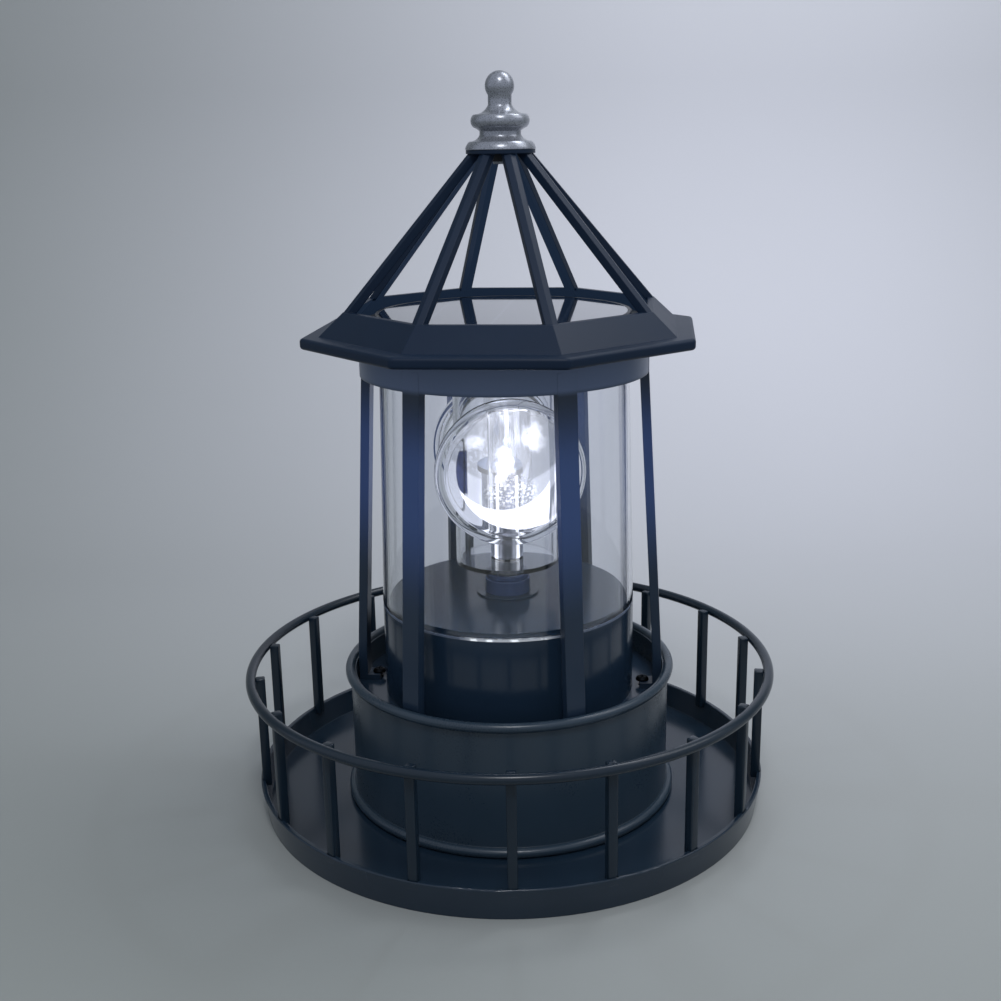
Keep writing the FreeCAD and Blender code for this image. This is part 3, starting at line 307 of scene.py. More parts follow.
def brushed(name, colour, rough, stretch=(900, 900, 60)):
    """Turned or drawn metal: fine lines round or along the piece."""
    f = Finish(name)
    lines = f.noise(1.0, 4, f.stretched(stretch))
    stain = f.noise(90, 4)
    return f.ends_in(f.surface({
        "Base Color": f.mix(stain.step(0.35, 0.7), shade(colour, 0.6), colour),
        "Metallic": 1.0,
        "Roughness": lines * 0.15 + stain * 0.1 + (rough - 0.12),
        "Normal": f.bump(lines, 0.000008, 0.0001),
    }))


finial_silver = flaked("finial_silver", paint(152, 155, 163), 0.3, 0.6)
screw_steel = brushed("screw_steel", paint(178, 178, 176), 0.32)
spring_steel = brushed("spring_steel", paint(190, 190, 188), 0.26, (700, 700, 700))
motor_can = brushed("motor_can", paint(170, 172, 176), 0.3)
stem_metal = brushed("stem_metal", paint(222, 224, 232), 0.5, (40, 40, 1200))
print("paint and metals ready")

# %% [markdown]
# ## Clear plastic
# The tube, the cup and the lenses are clear styrene. One shader with full transmission bends the
# view as the real walls do. Lamps would be blocked by it, so rays to lamps meet a Transparent
# shader instead, and the light reaches what is inside.
# %% Clear plastic
def clear(name, tint, rough, smudge, glow=None):
    f = Finish(name)
    marks = f.noise(70, 5).step(0.45, 0.8)
    sockets = {
        "Base Color": tint,
        "Roughness": marks * smudge + rough,
        "IOR": 1.49,
        "Transmission Weight": 1.0,
    }
    if glow:
        sockets["Emission Color"], sockets["Base Color"] = glow(f)
        sockets["Emission Strength"] = 1.0
    body = f.surface(sockets)
    through = f.node("ShaderNodeBsdfTransparent", None, {"Color": (0.96, 0.97, 0.98, 1)})
    to_lamp = f.node("ShaderNodeLightPath", output="Is Shadow Ray")
    return f.ends_in(f.node("ShaderNodeMixShader", None, {0: to_lamp, 1: body, 2: through}))


clear_wall = clear("clear_wall", (0.97, 0.98, 1.0, 1), 0.0, 0.03)
cup_clear = clear("cup_clear", (0.97, 0.98, 1.0, 1), 0.01, 0.05)
seal_clear = clear("seal_clear", (0.9, 0.93, 0.97, 1), 0.18, 0.1)
print("clear plastics ready")

# %% [markdown]
# ## The lit lens
# The lamp is lit, and the lens's flat back catches its light: a hot core in front of the LED, a
# second spot up and to the right, a bright crescent along the lower edge, and speckle between
# them. Tracing the light through the real moulding would take thousands of samples, so they are
# drawn as glow on the lens's back. It is drawn in the lens's own axes, across and upward from its
# middle in millimetres, so it turns with the beacon.
# %% The lit lens
LENS_TURN_DEGREES = 11
LENS_TURN = math.radians(LENS_TURN_DEGREES)
LENS_Z = 148 * MM
# Each blob: its place across and upward, how tall it is, and the radii where it starts to fade
# and ends.
CORE = (-2.6, 2.6, 1.7, 1.2, 4.5)
HALO = (-2.0, 2.5, 1.2, 2, 13)
SECOND = (9.0, 13.2, 1.3, 1.0, 5.4)
WEDGE = (-13.4, 12.4, 0.7, 2, 5.2)
BELOW = (0.5, -7, 0.62, 6, 12)
ABOVE = (0, 14, 2, 7, 13)


def lens_glow(turn, power):
    """The painted glow on the back of the lens that faces turn from the front, and its tint, with a
    painted dark patch.
    """
    def build(f):
        settings = {"Location": (0, 0, -LENS_Z), "Rotation": (0, 0, -turn)}
        spot = f.node("ShaderNodeMapping", None, {"Vector": f.place(), **settings})
        across = f.axis("X", spot) / MM
        upward = f.axis("Z", spot) / MM

        def away(u, v, tall=1.0):
            side = across - u
            rise = (upward - v) / tall
            return (side * side + rise * rise).maths("SQRT")

        # The lit field is a circle that the cup's edge cuts off on the right.
        inside = (1 - away(3.6, 1.5).step(24.0, 24.5)) * (1 - across.step(14.6, 14.9))

        def blob(place, ragged=None):
            u, v, tall, fades, ends = place
            distance = away(u, v, tall)
            if ragged:
                distance = distance + ragged
            return (1 - distance.step(fades, ends)) * inside

        crescent = inside * (1 - upward.step(-4, 2)) * away(-3.1, 6.2).step(19.9, 20.7)
        ragged = (f.noise(240, 4, spot) - 0.5) * 7
        grains = f.noise(1300, 4, spot).step(0.5, 0.58)
        drawn_out = f.node("ShaderNodeMapping", None, {"Vector": spot, "Scale": (620, 620, 30)})
        streaks = f.noise(1.0, 3, drawn_out).step(0.48, 0.64)
        edge = across.step(15.0, 15.3) * (1 - across.step(17.2, 17.6)) * streaks
        edge = edge * (1 - upward.step(20, 22)) * upward.step(-22, -19)
        haze = inside * across.step(-16.6, -16.0)
        light = (crescent * 1.3 + blob(CORE, ragged) * 1.9 + blob(HALO) * 0.25
                 + blob(SECOND, ragged) * 0.9 + blob(WEDGE, ragged * 0.3) * 0.5
                 + grains * blob(BELOW) * 0.9 + streaks * upward.step(6, 14) * blob(ABOVE) * 0.35
                 + edge * 0.9 + haze * 0.208) * power
        # A painted dark patch on the left: painted shade for the dark inside of the lamp, which the
        # lens shows there.
        dark = inside * (1 - across.step(-16.4, -16.0))
        dark = dark * upward.step(-8, -7) * (1 - upward.step(9, 10)) * power
        return f.white(light), f.mix(dark, (0.98, 0.985, 1.0, 1), (0.008, 0.012, 0.05, 1))
    return build


LENS_TINT = (0.98, 0.985, 1.0, 1)
lens_clear = clear("lens_clear", LENS_TINT, 0.0, 0.02)
front_glow = clear("front_lens_glow", LENS_TINT, 0.02, 0.02, lens_glow(LENS_TURN, 1.0))
rear_turn = LENS_TURN + math.pi
rear_glow = clear("rear_lens_glow", LENS_TINT, 0.02, 0.02, lens_glow(rear_turn, 0.3))
print("glow drawn on", front_glow.name, "and", rear_glow.name)

# %% [markdown]
# ## The line at the tube's foot, and the LED
# The tube carries some of the lamp's light down to its seal, where it leaves as a bright line,
# most of it in front. The LED's dome glows at its side, and the clear sleeve round its stem shows
# painted highlights in bands beside painted shade. All three could be lit by real light alone, but
# the glow would then need many samples, so each is a pattern that adds its own light; on the seal
# and the sleeve it is painted light.
# %% Seal line, LED and sleeve
def lit_edge():
    """The seal under the tube: a bright line with a few glints in front, dull elsewhere."""
    f = Finish("tube_foot_line")
    sideways = (f.axis("X") - 7 * MM).maths("ABSOLUTE").step(14 * MM, 21 * MM)
    front = (1 - sideways) * (1 - f.axis("Y").step(-50 * MM, -45 * MM))
    glints = f.noise(260, 3).step(0.5, 0.68)
    # Painted light: the bright line and its glints are emission on the seal.
    light = front * (glints * 0.6 + 0.3)
    return f.ends_in(f.surface({
        "Base Color": paint(96, 106, 124),
        "Roughness": glints * 0.1 + 0.2,
        "Emission Color": f.white(light, 0.9, 0.95),
        "Emission Strength": 1.0,
    }))


def lit_dome(colour, low, high):
    """The LED's dome, which glows least at its top: the beam leaves it sideways."""
    f = Finish("led_white")
    upper = (f.axis("Z") / MM).step(low, (low + high) / 2)
    return f.ends_in(f.surface({
        "Base Color": (0.05, 0.05, 0.06, 1),
        "Roughness": f.noise(1200, 2) * 0.1 + 0.3,
        "Emission Color": f.mix(upper, colour, shade(colour, 0.1)),
        "Emission Strength": 1.0,
    }))


def striped_sleeve():
    """The clear sleeve with painted light: two bands of painted highlight in front and two behind,
    beside painted shade at its edges.
    """
    f = Finish("striped_sleeve")
    sockets = {"Vector": f.place(), "Rotation": (0, 0, -CAMERA_TURN)}
    spot = f.node("ShaderNodeMapping", None, sockets)
    across = (f.axis("X", spot) / MM).maths("ABSOLUTE")
    # Painted highlights in bands on the sleeve, and painted shade towards its edges.
    painted_highlight = across.step(3.4, 3.7) * (1 - across.step(4.9, 5.2))
    painted_dark_edge = across.step(5.2, 5.4)
    return f.ends_in(f.surface({
        "Base Color": f.mix(painted_dark_edge, (0.9, 0.92, 0.98, 1), (0.02, 0.025, 0.04, 1)),
        "Roughness": f.noise(300, 3) * 0.06 + 0.03,
        "IOR": 1.49,
        "Transmission Weight": 1.0,
        "Emission Color": f.white(painted_highlight * 0.75, 0.92, 0.94),
        "Emission Strength": 1.0,
    }))


led_low, led_high = (corner.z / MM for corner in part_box("led"))
print("LED from", round(led_low, 1), "to", round(led_high, 1), "mm")

# %% [markdown]
# ## Solar cells
# A round panel of this size holds dark cells cut into strips, with thin silver fingers across
# and two busbars along, under a clear coat. Straight lines on Object coordinates draw them, and
# the coat gives the strong mirror at the photograph's low angle.
# %% Solar cells
def lines(value, pitch, width):
    """1 on lines of a width, repeated at a pitch, all in metres."""
    phase = (value / pitch).maths("FRACT")
    return (phase - 0.5).maths("ABSOLUTE").maths("GREATER_THAN", 0.5 - width / pitch / 2)


def solar_glass():
    f = Finish("solar_glass")
    cells = f.noise(160, 4, f.stretched((3, 1, 1)))
    silicon = f.mix(cells, paint(14, 20, 42), paint(28, 38, 72))
    fingers = lines(f.axis("Y"), 2.1 * MM, 0.12 * MM)
    bars = lines(f.axis("X"), 26 * MM, 1.1 * MM)
    gaps = lines(f.axis("Y") + 6 * MM, 25 * MM, 0.8 * MM)
    base = f.mix(fingers, silicon, paint(84, 92, 116))
    base = f.mix(bars, base, paint(104, 110, 128))
    base = f.mix(gaps, base, paint(16, 17, 20))
    return f.ends_in(f.surface({
        "Base Color": base,
        "Roughness": f.noise(45, 4) * 0.06 + 0.05,
        "Metallic": 0.8,
        "Coat Weight": 1.0,
        "Coat Roughness": 0.03,
        "Coat IOR": 1.9,
    }))


solar = solar_glass()
print("made", solar.name)

# %% [markdown]
# ## Board, battery and leads
# These stand inside the drum, where only an opened lamp shows them, so plain patterns do: square
# cells for copper traces, a band for the battery's end, and a ripple for drawn insulation. Each
# name in the list is a material slot of the record.
# %% Board, battery and leads
def board_green():
    f = Finish("board_green")
    sockets = {"Vector": f.place(), "Scale": 260, "Randomness": 0.7}
    squares = f.node("ShaderNodeTexVoronoi", {"distance": "CHEBYCHEV"}, sockets, "Distance")
    traces = squares.step(0.55, 0.6)
    return f.ends_in(f.surface({
        "Base Color": f.mix(traces, paint(18, 74, 42), paint(34, 110, 62)),
        "Roughness": traces * 0.1 + 0.3,
        "Normal": f.bump(traces, 0.00002),
    }))


def wrapped():
    """The battery's shrink sleeve: plain grey-green with a darker band at its positive end."""
    f = Finish("battery_wrap")
    band = f.axis("X").step(9 * MM, 9.3 * MM)
    wrinkles = f.noise(240, 3)
    return f.ends_in(f.surface({
        "Base Color": f.mix(band, paint(96, 120, 104), paint(46, 50, 54)),
        "Roughness": wrinkles * 0.1 + 0.25,
        "Normal": f.bump(wrinkles, 0.00002),
    }))


def soft(name, colour, rough):
    """Insulation, with the faint ripple of a drawn skin."""
    f = Finish(name)
    ripple = f.noise(500, 3)
    return f.ends_in(f.surface({
        "Base Color": f.mix(ripple, shade(colour, 0.85), colour),
        "Roughness": ripple * 0.1 + rough,
        "Normal": f.bump(ripple, 0.00001),
    }))


finishes = {
    "housing_black": housing, "finial_silver": finial_silver, "clear_wall": clear_wall,
    "lens_clear": lens_clear, "cup_clear": cup_clear, "solar_glass": solar,
    "inner_black": inner_black, "knob_black": part_black, "screw_steel": screw_steel,
    "spring_steel": spring_steel, "motor_can": motor_can, "gear_white": gear_white,
    "stem_metal": stem_metal, "board_green": board_green(), "part_black": part_black,
    "led_board_white": soft("led_board_white", paint(52, 56, 66), 0.4),
    "led_white": lit_dome((0.85, 0.92, 1.0, 1), led_low, led_high), "battery_wrap": wrapped(),
    "lead_black": soft("lead_black", paint(24, 24, 26), 0.5), "seal_clear": seal_clear,
}
print("finishes:", len(finishes))

# %% [markdown]
# ## Dressing the frame's own nodes
# Most mouldings are right as they come from the frame and only need their finish. The slot that
# each node has in the record says which. Where one plastic looks different from piece to piece,
# as it is polished differently or gets different light, the piece has a finish of its own, with
# its colour painted lighter or darker for that light.
# %% Dress the nodes
slot_of = {row["node"]: row["material_slot"] for row in frame["record"]["subparts"]}
special = {
    "tray": tray_satin, "panel_holder": dish_black, "roof_frame": roof_satin,
    "lantern_cage": cage_satin, "pedestal": pedestal_satin, "tube_seal": lit_edge(),
    "beacon_bush": pedestal_satin, "finial_nut": part_black,
}
for name, node in nodes.items():
    finish = special.get(name) or finishes[slot_of[name]]
    node.data.materials.clear()
    node.data.materials.append(finish)
print("dressed", len(nodes), "nodes")

# %% [markdown]
# ## Turned pieces
# The finial, the lenses and the clear tube are solids of revolution. The frame's mesh is fine
# enough to collide but shows facets in glass and on a silhouette. A Screw modifier would turn an
# outline too, but would leave the axis open, so each is turned here from its outline: points in
# radius and height, revolved in many steps and closed at the axis.
# %% The lathe
def arc(centre, radius, start, end, steps):
    """Points of an arc in the outline's plane, angles in degrees from outward."""
    angles = [math.radians(start + (end - start) * index / steps) for index in range(steps + 1)]
    return [(centre[0] + radius * math.cos(a), centre[1] + radius * math.sin(a)) for a in angles]


def bow(start, middle, end, steps=10):
    """Points of the circle through three points, from the first to the last."""
    (ax, ay), (bx, by), (cx, cy) = start, middle, end
    d = 2 * (ax * (by - cy) + bx * (cy - ay) + cx * (ay - by))
    a2, b2, c2 = (x * x + y * y for x, y in (start, middle, end))
    x = (a2 * (by - cy) + b2 * (cy - ay) + c2 * (ay - by)) / d
    y = (a2 * (cx - bx) + b2 * (ax - cx) + c2 * (bx - ax)) / d
    first, mid, last = (math.atan2(p[1] - y, p[0] - x) for p in (start, middle, end))
    span = (last - first) % (2 * math.pi)
    if (mid - first) % (2 * math.pi) > span:
        span -= 2 * math.pi
    r = math.hypot(ax - x, ay - y)
    turns = [first + span * index / steps for index in range(steps + 1)]
    return [(x + r * math.cos(t), y + r * math.sin(t)) for t in turns]


def linked(name, data):
    """A new object in the scene, from its mesh or its lamp."""
    piece = bpy.data.objects.new(name, data)
    scene.collection.objects.link(piece)
    return piece


def on_axis(outline, lift=0.0):
    """The outline with its rounding errors at the axis made exact, and raised by lift."""
    return [(max(radius, 0) if radius > 1e-6 else 0, height + lift) for radius, height in outline]


def lathed(name, outline, steps=128, place=Matrix.Identity(4), closed=False, materials=()):
    """Revolves an outline of (radius, height, material) in millimetres about Z."""
    bm = bmesh.new()
    rings = []
    for point in outline:
        radius, height = point[0] * MM, point[1] * MM
        if radius < 1e-7:
            rings.append([bm.verts.new((0, 0, height))])
            continue
        turns = [2 * math.pi * index / steps for index in range(steps)]
        spots = [(radius * math.cos(turn), radius * math.sin(turn), height) for turn in turns]
        rings.append([bm.verts.new(spot) for spot in spots])
    pairs = list(zip(rings, rings[1:] + rings[:1])) if closed else list(zip(rings, rings[1:]))
    for number, (low, high) in enumerate(pairs):
        if len(low) == 1 and len(high) == 1:
            continue
        for index in range(steps):
            after = (index + 1) % steps
            corners = [low[index % len(low)], low[after % len(low)],
                       high[after % len(high)], high[index % len(high)]]
            face = bm.faces.new(list(dict.fromkeys(corners)))
            face.smooth = True
            face.material_index = outline[number][2] if len(outline[number]) > 2 else 0
    bmesh.ops.recalc_face_normals(bm, faces=bm.faces)
    bmesh.ops.transform(bm, matrix=place, verts=bm.verts)
    mesh = bpy.data.meshes.new(name)
    bm.to_mesh(mesh)
    bm.free()
    mesh.set_sharp_from_angle(angle=math.radians(38))
    for material in materials:
        mesh.materials.append(material)
    return linked(name, mesh)


def stands_for(piece, body, slot, *replaced):
    """The piece takes the place of the frame's nodes and moves with their body."""
    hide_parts(*replaced)
    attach(piece, body)
    print(piece.name, len(piece.data.polygons), "faces")


print("lathe ready")

# %% [markdown]
# ## Finial
# Flange, waist, disc, neck and ball, with a peg below that stands in the hub. A spline could
# follow the outline freely, but a turner works in arcs. So each bulge is the arc through three
# points, which keeps the softness of the painted original.
# %% Finial
HUB_TOP, HUB_R = 272.1, 13.6
BALL_Z, BALL_R, NECK_R = 23.7, 5.7, 4.6
neck_turn = math.degrees(math.acos(NECK_R / BALL_R))
outline = [(0, -5.5), (2.8, -5.5), (3.0, -5.2), (3.0, 0), (HUB_R, 0)]
outline += bow((13.85, 0.2), (13.42, 1.55), (12.5, 2.8))
outline += bow((12.1, 3.12), (8.9, 4.35), (8.1, 5.6))
outline += bow((8.1, 6.9), (9.0, 7.65), (10.2, 8.25))
outline += bow((10.5, 8.4), (11.5, 10.75), (10.5, 13.1), 14)
outline += bow((10.2, 13.2), (6.57, 14.33), (NECK_R, 16.8), 14)
outline += arc((0, BALL_Z), BALL_R, -neck_turn, 90, 18)
finial = lathed("finial_turned", on_axis(outline, HUB_TOP), 96, materials=[finial_silver])
stands_for(finial, "lamp", "finial_silver", "finial")

# %% [markdown]
# ## Clear tube
# A tapering tube with fire-rounded lips. It is turned with 256 steps, because facets show twice
# in a wall that is seen through.
# %% Clear tube
LOW_R, HIGH_R, LOW_Z, HIGH_Z, WALL, LIP = 53.2, 50.8, 88.3, 190.0, 2.5, 0.4


def up_the_wall(shares, inward=0.0):
    """Points at shares of the tube's height, on its outside or so far inward."""
    return [(LOW_R - inward + (HIGH_R - LOW_R) * share, LOW_Z + (HIGH_Z - LOW_Z) * share)
            for share in shares]


rings = [(LOW_R - WALL + LIP, LOW_Z), (LOW_R - LIP, LOW_Z), (LOW_R, LOW_Z + LIP)]
rings += up_the_wall((0.3, 0.6, 0.9))
rings += [(HIGH_R, HIGH_Z - LIP), (HIGH_R - LIP, HIGH_Z), (HIGH_R - WALL + LIP, HIGH_Z),
          (HIGH_R - WALL, HIGH_Z - LIP)]
rings += up_the_wall((0.9, 0.6, 0.3), WALL)
rings += [(LOW_R - WALL, LOW_Z + LIP)]
tube = lathed("clear_tube_turned", rings, 256, closed=True, materials=[clear_wall])
stands_for(tube, "lamp", "clear_wall", "clear_tube")

# %% [markdown]
# ## Lenses
# A flat back, a thin flange with a raised bead and a groove, and a bulge in front. The bands of
# the flange are what shows as pale and dark rings round the light. The back has its own
# material, which holds the glow.
# %% Lenses
LENS_REACH = 22.0
FLANGE_THICK, BULGE_R, BULGE_HIGH, BULGE_START = 3.0, 25.6, 7.0, 24.0
GLOW = 1


def lens_outline():
    ball = (BULGE_R ** 2 + BULGE_HIGH ** 2) / (2 * BULGE_HIGH)
    top = math.degrees(math.asin(BULGE_START / ball))
    back = [(0, 0, GLOW), (27.4, 0), (29.2, 0), (29.8, 0.3), (30.0, 0.9), (30.0, 2.1)]
    rim = [(29.7, 2.7), (29.0, 3.0), (28.0, 3.0), (27.5, 2.75), (27.2, 2.2), (26.3, 2.1),
           (25.8, 2.5), (25.5, 3.0)]
    bulge = arc((0, FLANGE_THICK + BULGE_HIGH - ball), ball, 90 - top, 90, 20)
    return back + rim + on_axis(bulge)


def lens(name, degrees, glow, node):
    tip = Matrix.Rotation(math.radians(90), 4, "X")
    out = Matrix.Translation((0, -LENS_REACH * MM, LENS_Z))
    place = Matrix.Rotation(math.radians(degrees), 4, "Z") @ out @ tip
    piece = lathed(name, lens_outline(), 128, place, materials=[lens_clear, glow])
    stands_for(piece, "beacon", "lens_clear", node)


lens("front_lens_turned", LENS_TURN_DEGREES, front_glow, "front_lens")
lens("rear_lens_turned", LENS_TURN_DEGREES + 180, rear_glow, "rear_lens")

# %% [markdown]
# ## Hub, ring, sleeve and stem
# These stand in the middle of the tube, where the camera looks straight at them, so they are
# turned again too. Heights come from the boxes of the frame's nodes, so they can't drift from
# the pieces that they replace.
# %% Hub and stem
def heights(node):
    low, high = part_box(node)
    return low.z / MM, high.z / MM


def sleeve(name, node, bore, radius, body, slot, material, edge=0.25):
    low, high = heights(node)
    outline = [(bore, low), (radius - edge, low), (radius, low + edge), (radius, high - edge),
               (radius - edge, high), (bore, high)]
    piece = lathed(name, outline, 64, closed=True, materials=[material])
    stands_for(piece, body, slot, node)


SPIGOT_R, SOCKET_DEPTH = 6.84, 4
HUB_BORE, HUB_BODY_R = 4.55, 9.6
sleeve("cup_ring_turned", "cup_nut", SPIGOT_R, 9.0, "beacon", "inner_black", hub_satin)
sleeve("led_sleeve_turned", "led_sleeve", 4.52, 6.82, "lamp", "cup_clear", striped_sleeve())
low, high = heights("beacon_hub")
outline = [(HUB_BORE, low), (12.3, low), (12.5, low + 0.2), (12.5, low + 1.8), (12.3, low + 2),
           (HUB_BODY_R, low + 2), (HUB_BODY_R, high - 0.3), (HUB_BODY_R - 0.3, high),
           (SPIGOT_R, high), (SPIGOT_R, high - SOCKET_DEPTH), (HUB_BORE, high - SOCKET_DEPTH)]
hub = lathed("beacon_hub_turned", outline, 64, closed=True, materials=[hub_satin])
stands_for(hub, "beacon", "inner_black", "beacon_hub")
low, high = heights("led_stem")
STEM_BORE, STEM_R, COLLAR_R = 3.2, 4.5, 7.0
outline = [(STEM_BORE, low), (STEM_R, low), (STEM_R, low + 4.7), (COLLAR_R, low + 4.7),
           (COLLAR_R, low + 6.2), (STEM_R, low + 6.2), (STEM_R, high), (STEM_BORE, high)]
stem = lathed("led_stem_turned", outline, 64, closed=True, materials=[finishes["stem_metal"]])
stands_for(stem, "lamp", "stem_metal", "led_stem")

# %% [markdown]
# ## Repeating with Geometry Nodes
# Posts and screws stand in rings. One master is made, and a Geometry Nodes tree sets copies of
# it round the axis: points, a turn for each from its index, then Realize Instances and Set
# Material, because the copies have to be a real mesh.
# %% Geometry Nodes helpers
class Growth(Kit):
    """A Geometry Nodes tree with named inputs."""

    def __init__(self, name, inputs):
        tree = bpy.data.node_groups.new(name, "GeometryNodeTree")
        super().__init__(tree)
        face = tree.interface
        face.new_socket("Geometry", in_out="OUTPUT", socket_type="NodeSocketGeometry")
        self.keys = {}
        for label, kind in {"Geometry": "Geometry", **inputs, "Finish": "Material"}.items():
            made = face.new_socket(label, in_out="INPUT", socket_type="NodeSocket" + kind)
            self.keys[label] = made.identifier
        self.given = self.node("NodeGroupInput")

    def ends_in(self, shape):
        real = self.node("GeometryNodeRealizeInstances", None, {"Geometry": shape})
        painted = {"Geometry": real, "Material": self.given.out("Finish")}
        painted = self.node("GeometryNodeSetMaterial", None, painted)
        self.node("NodeGroupOutput", None, {"Geometry": painted})
        return self


def grown(name, growth, values, material, master=None):
    """Runs a tree on a master mesh and keeps the result as a plain mesh."""
    seed = linked(name + "_seed", master or bpy.data.meshes.new(name))
    modifier = seed.modifiers.new("grow", "NODES")
    modifier.node_group = growth.tree
    for label, value in {**values, "Finish": material}.items():
        modifier[growth.keys[label]] = value
    bpy.context.view_layer.update()
    shape = seed.evaluated_get(bpy.context.evaluated_depsgraph_get())
    mesh = bpy.data.meshes.new_from_object(shape)
    bpy.data.objects.remove(seed)
    mesh.materials.clear()
    mesh.materials.append(material)
    return linked(name, mesh)


def ring_tree():
    g = Growth("ring_of_copies", {"Count": "Int", "First turn": "Float"})
    points = g.node("GeometryNodePoints", None, {"Count": g.given.out("Count")})
    share = g.node("GeometryNodeInputIndex") / g.given.out("Count")
    angle = share * (2 * math.pi) + g.given.out("First turn")
    turn = g.node("ShaderNodeCombineXYZ", None, {"Z": angle})
    sockets = {"Points": points, "Instance": g.given.out("Geometry"), "Rotation": turn}
    return g.ends_in(g.node("GeometryNodeInstanceOnPoints", None, sockets))


def hoop_tree():
    g = Growth("hoop", {"Radius": "Float", "Thickness": "Float", "Height": "Float"})
    path = g.node("GeometryNodeCurvePrimitiveCircle", None,
                  {"Resolution": 256, "Radius": g.given.out("Radius")})
    section = g.node("GeometryNodeCurvePrimitiveCircle", None,
                     {"Resolution": 24, "Radius": g.given.out("Thickness")})
    tube = g.node("GeometryNodeCurveToMesh", None, {"Curve": path, "Profile Curve": section})
    smooth = g.node("GeometryNodeSetShadeSmooth", None, {"Geometry": tube})
    lift = g.node("ShaderNodeCombineXYZ", None, {"Z": g.given.out("Height")})
    sockets = {"Geometry": smooth, "Translation": lift}
    return g.ends_in(g.node("GeometryNodeTransform", None, sockets))


copies = ring_tree()
hoop = hoop_tree()
print("trees:", [tree.name for tree in bpy.data.node_groups])

# %% [markdown]
# ## Railing
# Eighteen square posts stand in the tray's rim, with their tops just inside the ring. They could
# be an Array round an empty, but the ring tree keeps the count in one input. The master post is a
# box with rounded edges, as a moulded bar is, and the ring is a circle with a round section.
# %% Railing
RAIL_POSTS, RAIL_R, RAIL_SIDE, RAIL_LOW, RAIL_HIGH = 18, 106.4, 3.8, 10.3, 59.4
RING_THICK, RING_Z = 2.1, 58.6
RING_R = math.hypot(RAIL_R + RAIL_SIDE / 2, RAIL_SIDE / 2) + RING_THICK


def bar(width, depth, low, high, x, y, edge, segments=3):
    """A master mesh: an upright bar with rounded edges, millimetres."""
    bm = bmesh.new()
    size = Matrix.Diagonal((width * MM, depth * MM, (high - low) * MM, 1))
    middle = Matrix.Translation((x * MM, y * MM, (low + high) / 2 * MM))
    bmesh.ops.create_cube(bm, size=1, matrix=middle @ size)
    bmesh.ops.bevel(bm, geom=bm.edges[:], offset=edge * MM, segments=segments, profile=0.5,
                    affect="EDGES")
    for face in bm.faces:
        face.smooth = True
    mesh = bpy.data.meshes.new("bar")
    bm.to_mesh(mesh)
    bm.free()
    return mesh


post = bar(RAIL_SIDE, RAIL_SIDE, RAIL_LOW, RAIL_HIGH, 0, -RAIL_R, 0.55)
turned = {"Count": RAIL_POSTS, "First turn": CAMERA_TURN}
posts = grown("railing_bars", copies, turned, railing_satin, post)
stands_for(posts, "lamp", "housing_black", "railing_posts")
sizes = {"Radius": RING_R * MM, "Thickness": RING_THICK * MM, "Height": RING_Z * MM}
railing = grown("railing_hoop", hoop, sizes, railing_satin)
stands_for(railing, "lamp", "housing_black", "railing_ring")

# %% [markdown]
# ## Screws
# Pan heads with a cross recess and a threaded shank. The head and shank are turned, the cross
# is cut by a Boolean, and the ring tree repeats the master. The master stands where the first
# screw is, so each ring only needs its count and turn.
# %% Screws
def thread(radius, start, end, pitch=0.9):
    """The outline of a shank from start to end, with a ridge at every pitch."""
    sign = 1 if end > start else -1
    count = int(abs(end - start) / pitch)
    points = []
    for index in range(count):
        height = start + sign * pitch * index
        points += [(radius * 0.78, height), (radius, height + sign * pitch / 2)]
    return points + [(radius * 0.6, end), (0, end)]


HEAD_R, HEAD, SHANK_R = 2.8, 1.6, 1.4


def screw_master(distance, seat, tip, head_r=HEAD_R, head=HEAD):
    """One screw at the front, on its seat, pointing at tip."""
    up = 1 if tip < seat else -1
    top = seat + up * head
    outline = [(0, top), (head_r * 0.55, top), (head_r * 0.85, top - up * head * 0.25),
               (head_r, top - up * head * 0.7), (head_r, seat), (SHANK_R, seat)]
    outline += thread(SHANK_R, seat, tip)
    place = Matrix.Translation((0, -distance * MM, 0))
    turned = lathed("screw", outline, 24, place)
    for angle in (0, math.pi / 2):
        cut = bar(head_r * 1.1, 0.6, -head * 0.5, head * 0.5, 0, 0, 0.05, 1)
        at_head = Matrix.Translation((0, -distance * MM, top * MM))
        cut.transform(at_head @ Matrix.Rotation(angle, 4, "Z"))
        cutter = linked("cutter", cut)
        modifier = turned.modifiers.new("cross", "BOOLEAN")
        modifier.operation = "DIFFERENCE"
        modifier.object = cutter
        bpy.context.view_layer.update()
        shape = turned.evaluated_get(bpy.context.evaluated_depsgraph_get())
        mesh = bpy.data.meshes.new_from_object(shape)
        turned.modifiers.clear()
        turned.data = mesh
        bpy.data.objects.remove(cutter)
    mesh = turned.data
    bpy.data.objects.remove(turned)
    return mesh


def screws(name, count, first, distance, seat, tip, node, metal):
    master = screw_master(distance, seat, tip)
    values = {"Count": count, "First turn": math.radians(first)}
    piece = grown(name, copies, values, metal, master)
    stands_for(piece, "lamp", "screw_steel", node)


def seat_and_tip(node, down=True):
    """Heights in millimetres of a screw's seat and tip, from the node's box."""
    low, high = heights(node)
    return (high - HEAD, low) if down else (low + HEAD, high)


def screw_distance(node):
    """How far a ring of screws stands from the axis, in millimetres."""
    reach = max(math.hypot(v.co.x, v.co.y) for v in nodes[node].data.vertices)
    return reach / MM - HEAD_R


screw_black = brushed("screw_black", paint(30, 33, 38), 0.5)
rings = {
    "base_screws": (4, 45, False, screw_steel), "cage_screws": (6, 30, True, screw_black),
    "roof_screws": (4, 45, False, screw_black),
}
for node, (count, first, down, metal) in rings.items():
    seat, tip = seat_and_tip(node, down=down)
    screws(node + "_cross", count, first, screw_distance(node), seat, tip, node, metal)

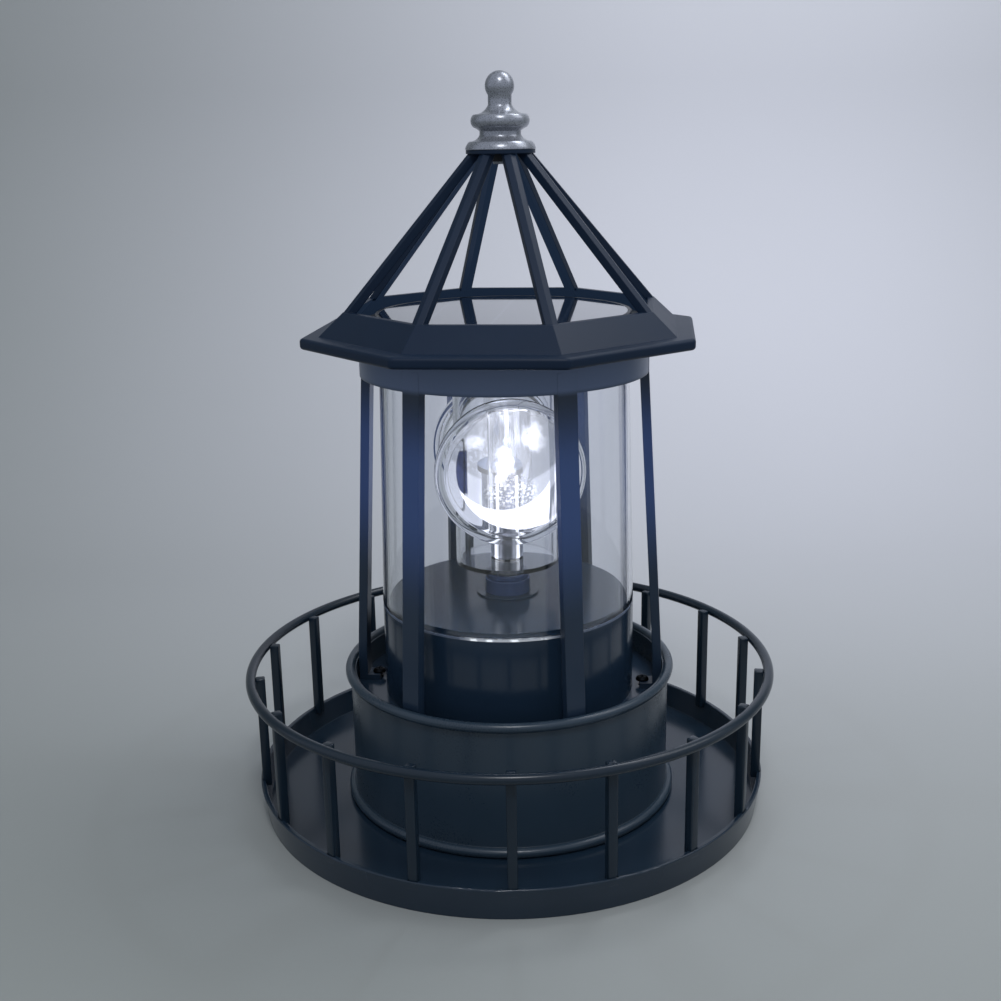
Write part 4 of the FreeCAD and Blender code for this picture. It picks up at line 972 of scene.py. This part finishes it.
# %% [markdown]
# ## Studio
# A pale floor runs up into a pale wall with no corner, as a roll of paper does in a studio. Its
# colour is a little lighter on the right, where the lamp's own light falls on it. A second lamp
# could do that, but would also light the object.
# %% Floor and backdrop
def sweep():
    width, front, back, bend, top = 2.4, -1.6, 0.62, 0.32, 1.7
    path = [(front, 0), (0, 0)]
    steps = 24
    for index in range(steps + 1):
        angle = math.pi / 2 * index / steps
        path.append((back - bend + bend * math.sin(angle), bend - bend * math.cos(angle)))
    path.append((back, top))
    bm = bmesh.new()
    columns = [[bm.verts.new((x, y, z)) for y, z in path] for x in (-width, width)]
    for index in range(len(path) - 1):
        left, right = columns
        bm.faces.new([left[index], right[index], right[index + 1], left[index + 1]]).smooth = True
    bmesh.ops.transform(bm, matrix=Matrix.Rotation(CAMERA_TURN, 4, "Z"), verts=bm.verts)
    mesh = bpy.data.meshes.new("studio_sweep")
    bm.to_mesh(mesh)
    bm.free()
    return mesh


def pale_card():
    f = Finish("pale_card")
    # Painted light: the card is painted lighter round this point, a pool of the lamp's light on it.
    bright = (0.14, 0.6, 0.2)
    distance = {"operation": "DISTANCE"}
    away = f.node("ShaderNodeVectorMath", distance, {0: f.place(), 1: bright}, "Value")
    fibre = f.noise(400, 3)
    painted_pool_and_tone = 1 - away.step(0.0, 0.95) + (f.noise(2.2, 3) - 0.5) * 0.15
    return f.ends_in(f.surface({
        "Base Color": f.mix(painted_pool_and_tone.clamped(), paint(150, 154, 149), paint(202, 202, 207)),
        "Roughness": fibre * 0.1 + 0.55,
        "Normal": f.bump(fibre, 0.00002),
    }))


floor = linked("studio_sweep", sweep())
floor.data.materials.append(pale_card())
print("floor and wall:", len(floor.data.polygons), "faces")

# %% [markdown]
# ## Lamps and world
# The photograph was lit softly from above and the right, and the lamp's own light falls on the
# wall behind it. Three soft lamps and the world do the same. A small lamp stands where the LED
# is, hidden from the lenses, which would show it as a ball.
# %% Lamps and world
def soft_lamp(name, place, target, size, power, colour):
    data = bpy.data.lights.new(name, "AREA")
    data.shape = "DISK"
    data.size = size
    data.energy = power
    data.color = colour
    lamp = linked(name, data)
    way = (Vector(target) - Vector(place)).to_track_quat("-Z", "Y").to_matrix().to_4x4()
    lamp.matrix_world = Matrix.Translation(place) @ way


soft_lamp("key", (0.12, -0.75, 1.2), (0, 0, 0.1), 0.25, 4.0, (0.97, 0.98, 1.0))
soft_lamp("fill", (0.75, 0.1, 0.9), (0, 0, 0.1), 0.6, 1.6, (0.95, 0.97, 1.0))
soft_lamp("wall", (0.22, 0.2, 0.75), (0.16, 0.62, 0.2), 0.3, 2.0, (0.9, 0.93, 1.0))
glow = bpy.data.lights.new("led_light", "POINT")
glow.energy = 0.08
glow.color = (0.72, 0.84, 1.0)
glow.shadow_soft_size = 0.004
led_light = linked("led_light", glow)
led_light.location = (0.0, 0.0, 0.156)
led_light.visible_camera = led_light.visible_transmission = led_light.visible_glossy = False

world = bpy.data.worlds.new("world")
world.use_nodes = True
scene.world = world
air = Kit(world.node_tree)
world.node_tree.nodes.clear()
shine = air.node("ShaderNodeBackground", None, {"Color": paint(200, 208, 222), "Strength": 0.78})
air.node("ShaderNodeOutputWorld", None, {"Surface": shine})
scene.view_settings.view_transform = "Standard"
print("studio ready")
